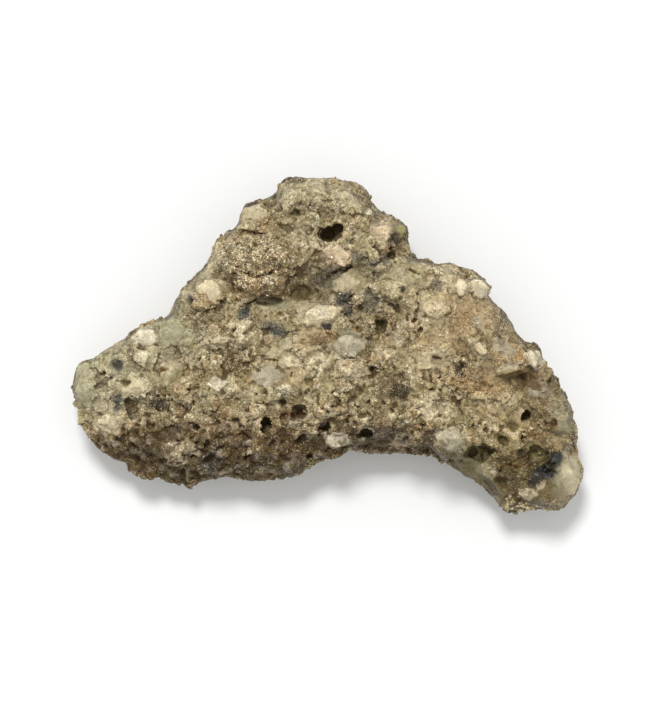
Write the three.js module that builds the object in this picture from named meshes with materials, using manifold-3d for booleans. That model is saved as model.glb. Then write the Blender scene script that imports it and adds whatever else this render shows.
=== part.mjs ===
// Trinitite: one fragment of the desert sand that the first atomic test melted to glass, as a single closed solid.
// The fragment lies with its rough side of half-melted sand up (+Z). The side that was the smooth, bubbly top of the
// melt faces down and rests on three low spots. Millimetres, +Z up. The origin is the middle of the bounding box at
// the surface that it rests on, and X runs along its length.
import * as THREE from "three";
import { ConvexGeometry } from "three/addons/geometries/ConvexGeometry.js";
import { ImprovedNoise } from "three/addons/math/ImprovedNoise.js";
import { mergeVertices } from "three/addons/utils/BufferGeometryUtils.js";
import Module from "manifold-3d";

// ---------------------------------------------------------------- driving dimensions
const LENGTH = 40; // tip to tip
const RIM_POINTS = 165; // points of the mesh along the rim
const SHOULDER_RINGS = 6; // rings of points over the rounding above the rim
const INNER_RINGS = 16; // rings of points from there to the middle of the rough side
const UNDER_SHOULDER_RINGS = 3; // the same for the glassy side, which is smoother
const UNDER_INNER_RINGS = 9;
const EVENING_PASSES = 30; // rounds of sliding the inner points until their triangles are even
const RIM_Z = 3.2; // mean height at which the fragment is widest
const RIM_WAVE = 1.6; // how far that height wanders along the edge
const HEART = new THREE.Vector3(4.6, 1.6, 0); // a point that sees the whole outline
const TOP_SHOULDER = 2.0; // width of the rounding from the rim to the rough side
const FLANK_EXTRA = 2.6; // how much wider that rounding is along the southern flank
const UNDER_SHOULDER = 2.4; // width of the rounding from the rim to the glassy side
const ROUGHNESS = 0.4; // height of the unevenness of the sintered sand
const CLOT_SIZE = 2.3; // width of the clots that the sand gathered in
const CLOT_HEIGHT = 1.8; // height of a clot over the seams around it

// The outline seen from above, anticlockwise from the eastern flank.
const OUTLINE = [
  [17.9, -2.2], [17.0, -1.4], [16.8, -0.5], [16.3, 0.05], [15.3, 0.7], [14.4, 1.3], [13.7, 3.0], [12.8, 3.9],
  [12.6, 4.9], [11.6, 5.8], [10.3, 6.25], [9.4, 6.7], [8.4, 6.65], [7.5, 7.0], [6.65, 7.05], [6.35, 8.1],
  [6.45, 8.9], [5.7, 9.8], [4.3, 10.45], [3.7, 11.6], [2.6, 12.65], [0.6, 13.1], [-2.3, 13.2], [-3.6, 12.65],
  [-4.6, 11.3], [-5.7, 11.35], [-6.75, 11.0], [-7.1, 9.8], [-8.8, 8.1], [-9.1, 7.0], [-10.2, 5.6], [-11.5, 4.4],
  [-12.2, 3.0], [-12.6, 2.35], [-14.2, 2.05], [-15.3, 1.2], [-17.0, 0.0], [-18.5, -0.9], [-19.8, -1.9],
  [-20.0, -3.0], [-19.6, -5.5], [-18.7, -7.1], [-17.9, -8.2], [-16.6, -8.7], [-14.7, -10.2], [-13.2, -10.4],
  [-12.4, -10.75], [-10.8, -10.75], [-8.4, -10.3], [-6.3, -10.65], [-3.6, -10.55], [-1.8, -9.7], [0.2, -8.85],
  [1.9, -8.15], [4.6, -8.5], [7.1, -8.45], [9.3, -9.3], [10.8, -10.5], [12.0, -11.0], [13.4, -12.6],
  [14.4, -13.2], [15.9, -12.75], [17.9, -12.85], [18.8, -12.2], [19.9, -10.9], [20.0, -9.6], [19.25, -7.9],
  [19.8, -6.6], [19.1, -4.8],
];

// Heights of the rough side away from its lumps and hollows: [x, y, z].
const CROWN = [
  [-18.5, -3.0, 5.2], [-15.0, 0.0, 6.2], [-14.0, -4.0, 7.0], [-13.0, -8.0, 5.6], [-9.0, -2.0, 7.6],
  [-10.0, 4.0, 6.7], [-7.0, 8.0, 7.4], [-5.5, 6.0, 7.9], [-2.0, 11.5, 7.5], [1.0, 11.0, 8.0], [1.0, 8.5, 8.5],
  [4.0, 9.0, 7.6], [-1.0, 4.5, 7.3], [-4.0, 1.0, 7.8], [0.0, 1.0, 8.4], [3.0, 2.0, 7.9], [6.0, 5.0, 8.5],
  [9.0, 3.0, 8.7], [12.0, 2.0, 8.0], [0.0, -4.0, 8.3], [-5.0, -4.0, 7.9], [-5.0, -7.5, 6.4], [5.0, -4.0, 8.3],
  [4.0, -7.0, 6.8], [10.0, -2.0, 8.3], [10.0, -6.5, 7.2], [14.0, -4.0, 7.7], [17.0, -5.0, 6.6],
  [15.0, -8.0, 6.9], [18.0, -10.0, 5.6], [15.0, -11.5, 5.2],
];
const CROWN_REACH = 2.2; // how far one of these heights is felt

// The glassy side: its mean height, and the low spots that the fragment rests on: [x, y, radius].
const BELLY_Z = 1.1;
const FEET = [[-14.2, -4.4, 2.4], [13.4, -5.2, 2.6], [0.2, 8.2, 2.5]];
const FOOT_DIP = 2.2; // how far a low spot would reach below that height if it weren't worn flat

// Rounded swellings of the rough side, of clotted sand or bare glass, and shallow sags between them:
// [x, y, half length, half width, rise, turn in degrees].
const SWELLINGS = [
  [-5.4, 6.6, 3.0, 2.2, 1.5, 10], [-5.2, 4.7, 2.2, 1.0, 0.8, -8], [-5.9, 9.3, 1.6, 0.9, 0.7, -10],
  [-5.7, 10.5, 1.5, 1.2, 1.0, -5], [-3.3, 11.7, 1.5, 1.3, 0.8, 30], [0.7, 11.5, 2.4, 1.5, 0.8, -8],
  [2.9, 10.3, 1.6, 1.2, 0.6, -30], [2.9, 4.6, 1.8, 1.4, 0.8, 0], [-1.6, -3.1, 2.2, 1.0, 0.6, 10],
  [-3.7, -3.4, 1.4, 0.9, 0.6, 15], [-12.0, -8.2, 2.2, 1.5, 1.1, 20], [-9.4, -3.1, 1.8, 1.0, 0.5, -10],
  [6.2, -5.4, 2.1, 1.1, 0.6, 0], [12.4, -3.2, 2.4, 1.2, 0.7, -18], [13.0, 2.2, 1.4, 1.6, 0.7, -25],
  [6.8, 6.4, 1.8, 0.8, 0.6, -15], [-7.6, 1.0, 1.8, 1.2, 0.6, 15], [-12.1, 0.9, 1.6, 1.4, 0.6, 0],
  [-18.4, -2.8, 1.6, 2.4, 0.8, 0], [8.4, -0.4, 1.6, 1.2, 0.6, 0], [9.6, -7.0, 2.2, 1.7, 1.0, -10],
  [18.4, -10.2, 1.5, 2.4, 0.8, -10], [17.9, -5.1, 1.8, 1.4, 0.7, -15], [15.6, -11.6, 2.2, 1.2, 0.8, 5],
  [-1.8, 4.3, 1.9, 1.3, -0.8, -10], [-4.7, 3.4, 1.9, 0.8, -0.6, -3], [4.3, 3.2, 1.2, 1.4, -0.6, 0],
  [-2.2, -5.2, 1.6, 1.2, -0.5, 35], [-15.5, -4.5, 1.6, 1.2, -0.5, 0], [15.9, -8.4, 2.0, 1.6, -0.8, -20],
  [11.3, -9.6, 1.9, 1.1, -0.9, -20], [-1.6, -7.6, 1.9, 0.9, -0.5, 20], [9.0, -4.0, 2.2, 1.1, -0.4, 0],
];

const SWELLING_EDGE = 0.6; // under 1 makes their sides steep

// Mineral grains too large to melt, with flat cleavage faces: [x, y, half length, half width, rise, turn in degrees].
const MINERAL_GRAINS = [
  [0.65, 7.1, 1.45, 0.95, 1.0, -12], [-0.7, 2.6, 1.75, 1.05, 0.7, 12], [1.5, 0.1, 1.5, 1.15, 0.8, 20],
  [-14.2, 0.8, 1.2, 0.95, 0.9, -20], [-9.1, 4.4, 1.3, 1.05, 0.8, 15], [11.6, 4.6, 1.1, 1.0, 1.1, 0],
  [10.3, 4.6, 0.65, 0.9, 0.8, 0], [8.1, 2.8, 1.05, 0.65, 0.6, -35], [11.8, 0.0, 1.15, 0.5, 0.6, -55],
  [15.9, -0.9, 0.85, 0.95, 1.1, 20], [4.1, 8.9, 1.25, 0.8, 0.9, -15], [-2.8, -1.2, 0.95, 0.65, 0.6, -25],
  [0.9, 4.9, 0.9, 0.85, 0.7, 0], [0.7, -7.2, 1.4, 0.8, 0.9, -10], [-5.9, -7.5, 0.75, 0.65, 0.7, 30],
  [-4.0, -8.1, 0.85, 0.75, 0.8, 45], [-17.2, -5.9, 0.95, 0.85, 0.9, 10], [13.9, -1.7, 1.2, 0.5, 0.7, 15],
  [5.4, 9.0, 0.9, 0.8, 0.9, 30], [-2.1, 12.3, 1.4, 0.6, 0.8, -5],
];

// Burst bubbles and gaps with steep walls in the rough side: [x, y, half length, half width, depth, turn in degrees].
const HOLLOWS = [
  [0.25, 8.8, 1.02, 0.76, 2.3, 22], [-2.6, 10.4, 0.6, 0.4, 0.7, 15], [-4.8, 3.55, 1.4, 0.42, 0.9, -3],
  [1.0, 6.1, 1.2, 0.36, 0.9, 26], [4.1, 1.6, 0.58, 0.55, 1.0, 0], [15.7, -2.65, 1.2, 0.6, 0.9, -22],
  [11.6, -8.1, 1.2, 0.95, 1.7, 0], [16.4, -8.4, 0.95, 0.75, 0.9, -20], [17.1, -9.6, 1.3, 0.45, 0.9, 42],
  [15.4, -5.5, 0.5, 0.36, 0.8, 45], [13.8, -7.4, 0.62, 0.42, 0.7, -40], [-2.3, -5.1, 0.8, 0.6, 1.2, 35],
  [-4.85, -6.15, 0.42, 0.6, 1.2, -12], [-0.5, -6.3, 0.65, 0.38, 0.8, 8], [2.9, -6.7, 0.8, 0.5, 0.9, 30],
  [-12.0, -6.45, 0.7, 0.5, 0.9, 20], [-9.5, -7.6, 0.42, 0.55, 0.9, 0], [-15.2, -7.6, 0.8, 0.38, 0.7, -5],
  [-15.5, -4.5, 0.7, 0.5, 0.7, 0], [-13.0, -4.4, 0.5, 0.5, 0.6, 0], [4.85, 7.4, 0.42, 0.6, 0.9, 20],
];

// Open bubbles in the glassy side: [x, y, radius].
const BUBBLES = [
  [-9.5, -6.0, 1.2], [-4.2, -5.8, 0.8], [-2.5, 0.4, 1.4], [-8.2, 3.0, 0.9], [3.6, -3.6, 0.9], [5.8, 3.2, 1.2],
  [9.4, -1.4, 0.8], [-16.9, -2.0, 0.7], [15.6, -9.6, 0.9], [4.6, 7.2, 0.7],
];
const BUBBLE_SINK = 0.35; // share of the radius by which a bubble's middle lies inside the glass

// ---------------------------------------------------------------- shape functions
const { lerp, smoothstep, degToRad } = THREE.MathUtils;
const noise = new ImprovedNoise();

// Smooth unevenness from -1 to 1, that varies over about `size` millimetres.
function unevenness(p, size, offset = 0) {
  return noise.noise(p.x / size + offset, p.y / size - offset, p.z / size + 0.37 * offset);
}

// A repeatable number from 0 to 1 for three whole numbers and a channel.
function scatter(i, j, k, channel) {
  let h = Math.imul(i, 374761393) + Math.imul(j, 668265263) + Math.imul(k, 1274126177) + channel * 97561;
  h = Math.imul(h ^ (h >>> 13), 1103515245);
  return ((h ^ (h >>> 16)) >>> 0) / 4294967296;
}

// Height of the clot of sand at p: 1 at its middle, falling to the seams where it meets the next ones.
const NEAR = [-1, 0, 1];
function clotHeight(p) {
  const [i, j, k] = [p.x, p.y, p.z].map((value) => Math.floor(value / CLOT_SIZE));
  let least = Infinity;
  for (const di of NEAR) {
    for (const dj of NEAR) {
      for (const dk of NEAR) {
        const cell = [i + di, j + dj, k + dk];
        const [x, y, z] = cell.map((corner, axis) => (corner + scatter(...cell, axis)) * CLOT_SIZE);
        least = Math.min(least, Math.hypot(p.x - x, p.y - y, p.z - z) / CLOT_SIZE);
      }
    }
  }
  return 1 - least;
}

const rim = new THREE.CatmullRomCurve3(
  OUTLINE.map(([x, y]) => new THREE.Vector3(x, y, 0)),
  true,
  "centripetal",
);
rim.arcLengthDivisions = 1200;
const RIM_SAMPLES = 480;
const rimPoints = rim.getSpacedPoints(RIM_SAMPLES);

// Share of the way round at each rim point, counted half by length and half by the area that is swept from the heart.
// Going round in even steps of this share gives the far tips their part of the triangles.
const rimShares = [0];
const sweptArea = Math.abs(THREE.ShapeUtils.area(rimPoints));
rimPoints.slice(1).forEach((b, i) => {
  const a = rimPoints[i];
  const swept = Math.abs((a.x - HEART.x) * (b.y - HEART.y) - (b.x - HEART.x) * (a.y - HEART.y)) / 2;
  rimShares.push(rimShares[i] + 0.35 * (swept / sweptArea) + 0.65 * (a.distanceTo(b) / rim.getLength()));
});

// The rim point where that share reaches `share`, and the level direction from it into the body: half way between
// square to the rim and towards the heart.
const CHORD = 11; // how many rim points to either side tell which way the rim runs
function rimAt(share) {
  const next = Math.max(1, rimShares.findIndex((reached) => reached >= share));
  const within = (share - rimShares[next - 1]) / (rimShares[next] - rimShares[next - 1]);
  const point = rimPoints[next - 1].clone().lerp(rimPoints[next], within);
  const ahead = rimPoints[(next + CHORD) % RIM_SAMPLES];
  const behind = rimPoints[(next + RIM_SAMPLES - CHORD) % RIM_SAMPLES];
  const square = new THREE.Vector3(behind.y - ahead.y, ahead.x - behind.x, 0).normalize();
  const inward = HEART.clone().sub(point).normalize().add(square).normalize();
  return { point, inward };
}

// The rim point nearest to (x, y), and how far away it is.
function nearestRim(x, y) {
  let point = rimPoints[0];
  let least = Infinity;
  for (const candidate of rimPoints) {
    const squared = (candidate.x - x) ** 2 + (candidate.y - y) ** 2;
    if (squared < least) {
      least = squared;
      point = candidate;
    }
  }
  return { point, distance: Math.sqrt(least) };
}

// A quarter round: 0 at the rim, 1 at `width` and further in.
function shoulder(distance, width) {
  const left = 1 - Math.min(distance / width, 1);
  return Math.sqrt(1 - left * left);
}

// Squared distance from the middle of a turned ellipse, 1 on the ellipse itself.
function ellipseSquare(x, y, [cx, cy, long, wide, , turn]) {
  const cos = Math.cos(degToRad(turn));
  const sin = Math.sin(degToRad(turn));
  const along = (x - cx) * cos + (y - cy) * sin;
  const across = (y - cy) * cos - (x - cx) * sin;
  return (along / long) ** 2 + (across / wide) ** 2;
}

function crownHeight(x, y) {
  let sum = 0;
  let weights = 1e-9;
  for (const [px, py, pz] of CROWN) {
    const weight = Math.exp(-((px - x) ** 2 + (py - y) ** 2) / (2 * CROWN_REACH ** 2));
    sum += weight * pz;
    weights += weight;
  }
  return sum / weights;
}

// How far the swellings and sags together lift the rough side.
function swellingHeight(x, y) {
  return SWELLINGS.reduce(
    (height, row) => height + row[4] * Math.max(0, 1 - ellipseSquare(x, y, row)) ** SWELLING_EDGE,
    0,
  );
}

// Height of the glassy side: a gently swelling melt surface that dips to its low spots.
function bellyHeight(x, y) {
  const swell = 0.55 * noise.noise(x / 5.5, y / 5.5, 4.2) + 0.25 * noise.noise(x / 2.3, y / 2.3, 1.7);
  const dips = FEET.map(([fx, fy, r]) => Math.exp(-((fx - x) ** 2 + (fy - y) ** 2) / r ** 2));
  return BELLY_Z + swell - FOOT_DIP * Math.max(...dips);
}

function rimHeight(x, y) {
  return RIM_Z + RIM_WAVE * noise.noise(x / 4.7, y / 4.7, 8.3);
}

function topHeight(x, y) {
  const { point, distance } = nearestRim(x, y);
  const facesSouth = Math.max(0, (y - point.y) / Math.max(distance, 1e-6));
  const width = TOP_SHOULDER + FLANK_EXTRA * facesSouth * (1 - 0.55 * smoothstep(x, -4, 4));
  return lerp(rimHeight(point.x, point.y), crownHeight(x, y), shoulder(distance, width));
}

function underHeight(x, y) {
  const { point, distance } = nearestRim(x, y);
  return lerp(rimHeight(point.x, point.y), bellyHeight(x, y), shoulder(distance, UNDER_SHOULDER));
}

// ---------------------------------------------------------------- the body
// Rings of points go from the middle of the rough side out over the rim and in to the middle of the glassy side.
// A ring is its number of points, how far inside the rim it lies, and whether it is on the upper side.
function ringRows() {
  const meanReach = Math.sqrt(sweptArea / Math.PI);
  const side = (upper, shoulderWidth, shoulderRings, innerRings, rimPointCount) => {
    const rows = [];
    for (let k = 1; k <= shoulderRings; k++) {
      const inset = shoulderWidth * (1 - Math.cos((k / shoulderRings) * (Math.PI / 2)));
      rows.push({ upper, inset, inner: 0, count: Math.round(rimPointCount * (1 - inset / meanReach)) });
    }
    const innerPoints = rimPointCount * (1 - shoulderWidth / meanReach);
    for (let k = 1; k <= innerRings; k++) {
      const inner = k / innerRings;
      const count = k === innerRings ? 1 : Math.max(5, Math.round(innerPoints * (1 - inner)));
      rows.push({ upper, inset: shoulderWidth, inner, count });
    }
    return rows;
  };
  const top = side(true, TOP_SHOULDER, SHOULDER_RINGS, INNER_RINGS, RIM_POINTS);
  const under = side(false, UNDER_SHOULDER, UNDER_SHOULDER_RINGS, UNDER_INNER_RINGS, 0.62 * RIM_POINTS);
  return [...top.reverse(), { upper: true, inset: 0, inner: 0, count: RIM_POINTS }, ...under];
}

// Places the points of all the rings, and stitches each ring to the next with triangles.
function ringGeometry() {
  const place = [];
  const index = [];
  let before = null;
  ringRows().forEach((ring) => {
    ring.start = place.length / 3;
    for (let k = 0; k < ring.count; k++) {
      const { point, inward } = rimAt(k / ring.count);
      const { x, y } = point.addScaledVector(inward, ring.inset).lerp(HEART, ring.inner);
      place.push(x, y, ring.upper ? topHeight(x, y) : underHeight(x, y));
    }
    if (before) stitch(index, before, ring);
    before = ring;
  });
  const geometry = new THREE.BufferGeometry();
  geometry.setAttribute("position", new THREE.Float32BufferAttribute(place, 3));
  geometry.setIndex(index);
  return geometry;
}

// Joins ring a to ring b below or outside it, taking the next point on the ring that lags behind.
function stitch(index, a, b) {
  const onA = (i) => a.start + (i % a.count);
  const onB = (i) => b.start + (i % b.count);
  let i = a.count === 1 ? 1 : 0;
  let j = 0;
  const endA = a.count;
  const endB = b.count === 1 ? 0 : b.count;
  while (i < endA || j < endB) {
    const stepA = i < endA && (j >= endB || (i + 1) / a.count <= (j + 1) / b.count);
    if (stepA) {
      index.push(onA(i), onB(j), onA(i + 1));
      i++;
    } else {
      index.push(onA(i), onB(j), onB(j + 1));
      j++;
    }
  }
}

// Slides the points inside the shoulders over the surface until the triangles there are about even.
function evenOut(geometry) {
  const place = geometry.attributes.position;
  const next = Array.from({ length: place.count }, () => new Set());
  const index = geometry.index.array;
  for (let t = 0; t < index.length; t += 3) {
    for (let side = 0; side < 3; side++) {
      next[index[t + side]].add(index[t + ((side + 1) % 3)]).add(index[t + ((side + 2) % 3)]);
    }
  }
  const free = next.map((_, i) => nearestRim(place.getX(i), place.getY(i)).distance > 1.1 * UNDER_SHOULDER);
  const upper = next.map((_, i) => place.getZ(i) > RIM_Z);
  for (let pass = 0; pass < EVENING_PASSES; pass++) {
    next.forEach((others, i) => {
      if (!free[i]) return;
      let [x, y, pulls] = [0, 0, 0];
      for (const k of others) {
        const pull = Math.hypot(place.getX(k) - place.getX(i), place.getY(k) - place.getY(i));
        x += pull * place.getX(k);
        y += pull * place.getY(k);
        pulls += pull;
      }
      place.setXY(i, x / pulls, y / pulls);
    });
  }
  next.forEach((_, i) => {
    if (!free[i]) return;
    const [x, y] = [place.getX(i), place.getY(i)];
    place.setZ(i, upper[i] ? topHeight(x, y) : underHeight(x, y));
  });
}

function bodyGeometry() {
  const geometry = ringGeometry();
  evenOut(geometry);
  sculpt(geometry);
  return geometry;
}

// An icosahedron's geometry with shared vertices and positions only.
function sphereGeometry(detail) {
  const geometry = new THREE.IcosahedronGeometry(1, detail);
  geometry.deleteAttribute("normal");
  geometry.deleteAttribute("uv");
  return mergeVertices(geometry, 1e-5);
}

// Raises the swellings, moves each point along its normal, most on the rough side and least on the glass, and wears
// the low spots flat.
function sculpt(geometry) {
  geometry.computeVertexNormals();
  const place = geometry.attributes.position;
  const normal = geometry.attributes.normal;
  const p = new THREE.Vector3();
  const n = new THREE.Vector3();
  for (let i = 0; i < place.count; i++) {
    p.fromBufferAttribute(place, i);
    n.fromBufferAttribute(normal, i);
    const sandy = lerp(0.2, 1, smoothstep(n.z, -0.7, 0.1));
    const inner = lerp(0.5, 1, smoothstep(nearestRim(p.x, p.y).distance, 0, 1.2));
    p.z += swellingHeight(p.x, p.y) * smoothstep(n.z, 0, 0.6);
    const bumps = unevenness(p, 2.9, 3.1) + 0.8 * unevenness(p, 1.3, 7.9);
    p.addScaledVector(n, sandy * inner * (ROUGHNESS * bumps + CLOT_HEIGHT * (clotHeight(p) - 0.5)));
    place.setXYZ(i, p.x, p.y, Math.max(0, p.z));
  }
  geometry.deleteAttribute("normal");
}

// ---------------------------------------------------------------- grains, hollows and bubbles
function placed(geometry, at, half, turn) {
  const upright = new THREE.Quaternion().setFromAxisAngle(new THREE.Vector3(0, 0, 1), degToRad(turn));
  return geometry.applyMatrix4(new THREE.Matrix4().compose(at, upright, half));
}

const body = bodyGeometry();

// Height of the finished body at (x, y), on its rough side or its glassy one: the mean of the points close by.
const CLOSE = 0.45;
function bodyHeight(x, y, rough = true) {
  const place = body.attributes.position;
  let sum = 0;
  let weights = 1e-9;
  for (let i = 0; i < place.count; i++) {
    if (place.getZ(i) > rimHeight(x, y) !== rough) continue;
    const weight = Math.exp(-((place.getX(i) - x) ** 2 + (place.getY(i) - y) ** 2) / (2 * CLOSE ** 2));
    sum += weight * place.getZ(i);
    weights += weight;
  }
  return sum / weights;
}

// A broken crystal: the convex hull of a few points near the unit sphere, which leaves flat faces.
const CORNERS = 13;
const GOLDEN_ANGLE = Math.PI * (3 - Math.sqrt(5));
function crystalGeometry(seed) {
  const corners = [];
  for (let k = 0; k < CORNERS; k++) {
    const up = Math.min(0.72, 1 - (2 * k + 1) / CORNERS);
    const angle = GOLDEN_ANGLE * k + 0.5 * Math.sin(seed + 2.3 * k);
    const out = Math.sqrt(1 - up * up) * (0.92 + 0.16 * Math.sin(3 * seed + 1.7 * k));
    corners.push(new THREE.Vector3(out * Math.cos(angle), out * Math.sin(angle), up));
  }
  const geometry = new ConvexGeometry(corners);
  geometry.deleteAttribute("normal");
  return mergeVertices(geometry, 1e-5);
}

function grainGeometry([x, y, long, wide, rise, turn]) {
  const at = new THREE.Vector3(x, y, bodyHeight(x, y) - 0.1 * rise);
  return placed(crystalGeometry(x + 2 * y), at, new THREE.Vector3(long, wide, 1.3 * rise), turn);
}

// A ball with slightly uneven walls.
function pocketGeometry(detail, seed) {
  const geometry = sphereGeometry(detail);
  const place = geometry.attributes.position;
  const v = new THREE.Vector3();
  for (let i = 0; i < place.count; i++) {
    v.fromBufferAttribute(place, i);
    v.multiplyScalar(1 + 0.2 * unevenness(v, 0.9, seed));
    place.setXYZ(i, v.x, v.y, v.z);
  }
  return geometry;
}

function hollowGeometry([x, y, long, wide, depth, turn]) {
  const at = new THREE.Vector3(x, y, bodyHeight(x, y) - 0.1 * depth);
  return placed(pocketGeometry(long > 0.7 ? 1 : 0, x + y), at, new THREE.Vector3(long, wide, depth), turn);
}

function bubbleGeometry([x, y, radius]) {
  const at = new THREE.Vector3(x, y, bodyHeight(x, y, false) + BUBBLE_SINK * radius);
  return placed(pocketGeometry(radius > 0.8 ? 1 : 0, x - y), at, new THREE.Vector3(radius, 0.92 * radius, 0.85 * radius), 0);
}

// ---------------------------------------------------------------- joining and cutting
const wasm = await Module();
wasm.setup();

function solid(geometry) {
  return new wasm.Manifold(
    new wasm.Mesh({
      numProp: 3,
      vertProperties: new Float32Array(geometry.attributes.position.array),
      triVerts: new Uint32Array(geometry.index.array),
    }),
  );
}

function geometryOf(made) {
  const mesh = made.getMesh();
  const place = new Float32Array(mesh.numVert * 3);
  for (let i = 0; i < mesh.numVert; i++) {
    place.set(mesh.vertProperties.subarray(i * mesh.numProp, i * mesh.numProp + 3), i * 3);
  }
  const geometry = new THREE.BufferGeometry();
  geometry.setAttribute("position", new THREE.BufferAttribute(place, 3));
  geometry.setIndex(new THREE.BufferAttribute(mesh.triVerts, 1));
  return geometry;
}

function fragmentGeometry() {
  let made = solid(body);
  for (const row of MINERAL_GRAINS) made = made.add(solid(grainGeometry(row)));
  for (const row of HOLLOWS) made = made.subtract(solid(hollowGeometry(row)));
  for (const row of BUBBLES) made = made.subtract(solid(bubbleGeometry(row)));
  return geometryOf(made);
}

// Sets a geometry's bounding box about the Z axis, at exactly the fragment's length.
function centred(geometry) {
  geometry.computeBoundingBox();
  const { min, max } = geometry.boundingBox;
  geometry.translate(-(min.x + max.x) / 2, -(min.y + max.y) / 2, 0);
  const share = LENGTH / (max.x - min.x);
  return geometry.scale(share, share, share);
}

// ---------------------------------------------------------------- the fragment
const fragment = new THREE.Mesh(
  centred(fragmentGeometry()),
  new THREE.MeshStandardMaterial({ color: 0x9a8a66, roughness: 0.85, metalness: 0, flatShading: true }),
);
fragment.name = "trinitite";

const part = new THREE.Group();
part.add(fragment);

export default part;
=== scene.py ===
import math

import bmesh
import bpy
import numpy as np
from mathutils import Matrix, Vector, noise
from mathutils.kdtree import KDTree


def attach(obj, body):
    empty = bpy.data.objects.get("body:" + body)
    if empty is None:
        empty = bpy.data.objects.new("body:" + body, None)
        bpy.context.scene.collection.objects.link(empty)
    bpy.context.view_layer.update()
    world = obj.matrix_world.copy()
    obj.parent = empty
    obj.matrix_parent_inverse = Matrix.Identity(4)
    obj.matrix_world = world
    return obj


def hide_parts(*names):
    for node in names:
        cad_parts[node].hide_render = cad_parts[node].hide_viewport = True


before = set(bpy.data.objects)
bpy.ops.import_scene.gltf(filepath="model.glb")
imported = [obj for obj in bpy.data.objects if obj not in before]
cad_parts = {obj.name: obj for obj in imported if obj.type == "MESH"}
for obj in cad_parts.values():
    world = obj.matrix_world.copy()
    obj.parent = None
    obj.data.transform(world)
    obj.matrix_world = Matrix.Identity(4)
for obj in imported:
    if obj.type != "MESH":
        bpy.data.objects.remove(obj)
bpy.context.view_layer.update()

# ------------------------ camera
# The fragment lies on its three low spots and is seen from straight above, through a long
# lens, so that its height hardly spreads its edges. The top of the view is +Y.
LENS_MM = 300
SENSOR_MM = 36
VIEW_CENTRE = (0.00039, -0.00039)
VIEW_TALL = 0.05476  # metres across the taller side of the view, at the height of the rim
RIM_HEIGHT = 0.004
NEAREST, FURTHEST = 0.01, 20


def placed(name, data):
    """A new object at the origin, for a mesh, a lamp or a camera."""
    made = bpy.data.objects.new(name, data)
    bpy.context.scene.collection.objects.link(made)
    return made


camera_data = bpy.data.cameras.new("camera")
camera_data.lens = LENS_MM
camera_data.sensor_width = SENSOR_MM
camera_data.clip_start = NEAREST
camera_data.clip_end = FURTHEST
camera = placed("camera", camera_data)
camera.location = (*VIEW_CENTRE, RIM_HEIGHT + VIEW_TALL * LENS_MM / SENSOR_MM)
bpy.context.scene.camera = camera

# ------------------------ table and light
# A plain white table under a soft lamp that stands beyond the upper edge, with pale light
# from all round. The table lets the eye through from below, so the underside can be seen.
TABLE_HALF = 1.5
TABLE_WHITE = 0.72
TABLE_ROUGHNESS = 0.9
TABLE_SPECULAR = 0.1
LAMP_RISE_DEG = 62
LAMP_TURN_DEG = 12
LAMP_STRENGTH = 2.35
LAMP_SPREAD_DEG = 14
ROOM_LIGHT = 0.84

scene = bpy.context.scene
scene.view_settings.view_transform = "Standard"


def put(tree, kind, inputs=None, **settings):
    """Adds a shader node with its settings, and sets its inputs or joins them to sockets."""
    made = tree.nodes.new(kind)
    for name, value in settings.items():
        setattr(made, name, value)
    for name, value in (inputs or {}).items():
        if isinstance(value, bpy.types.NodeSocket):
            tree.links.new(value, made.inputs[name])
        else:
            made.inputs[name].default_value = value
    return made


table_mesh = bpy.data.meshes.new("table")
table_shape = bmesh.new()
bmesh.ops.create_grid(table_shape, x_segments=1, y_segments=1, size=TABLE_HALF)
table_shape.to_mesh(table_mesh)
table_shape.free()
table = placed("table", table_mesh)

white_table = bpy.data.materials.new("white_table")
white_table.use_nodes = True
tree = white_table.node_tree
paint = tree.nodes["Principled BSDF"]
paint.inputs["Base Color"].default_value = (TABLE_WHITE, TABLE_WHITE, TABLE_WHITE, 1)
paint.inputs["Roughness"].default_value = TABLE_ROUGHNESS
paint.inputs["Specular IOR Level"].default_value = TABLE_SPECULAR
side = put(tree, "ShaderNodeNewGeometry")
clear = put(tree, "ShaderNodeBsdfTransparent")
either = put(tree, "ShaderNodeMixShader", {
    0: side.outputs["Backfacing"], 1: paint.outputs[0], 2: clear.outputs[0]})
tree.links.new(either.outputs[0], tree.nodes["Material Output"].inputs["Surface"])
table_mesh.materials.append(white_table)

lamp_data = bpy.data.lights.new("lamp", "SUN")
lamp_data.energy = LAMP_STRENGTH
lamp_data.angle = math.radians(LAMP_SPREAD_DEG)
lamp = placed("lamp", lamp_data)
lamp.rotation_euler = (math.radians(LAMP_RISE_DEG - 90), 0, math.radians(LAMP_TURN_DEG))

room = bpy.data.worlds.new("pale_room")
room.use_nodes = True
room.node_tree.nodes["Background"].inputs["Color"].default_value = (1, 1, 1, 1)
room.node_tree.nodes["Background"].inputs["Strength"].default_value = ROOM_LIGHT
scene.world = room

# ------------------------ fused sand body
# One lump of desert sand, melted to glass on its underside and only sintered on top, where
# half-melted grains, clasts and burst bubbles stand in it. It cooled as one piece.
MM = 0.001
SEED = 1607
SAME_SPOT = 1e-7  # metres between points of the solid that are one point
VOXEL = 0.14
SOFTEN_SHARE = 0.5
SOFTEN_PASSES = 4
UNDERSIDE = -0.1  # points whose normals rise less than this belong to the underside
THINNED_TO = 0.68  # share of the faces left after the smooth underside is thinned

rng = np.random.default_rng(SEED)
body = placed("fused_sand_body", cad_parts["trinitite"].data.copy())
body.data.materials.clear()
shape = bmesh.new()
shape.from_mesh(body.data)
bmesh.ops.remove_doubles(shape, verts=shape.verts, dist=SAME_SPOT)
bmesh.ops.scale(shape, vec=(1 / MM, 1 / MM, 1 / MM), verts=shape.verts)
shape.to_mesh(body.data)
shape.free()


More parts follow.
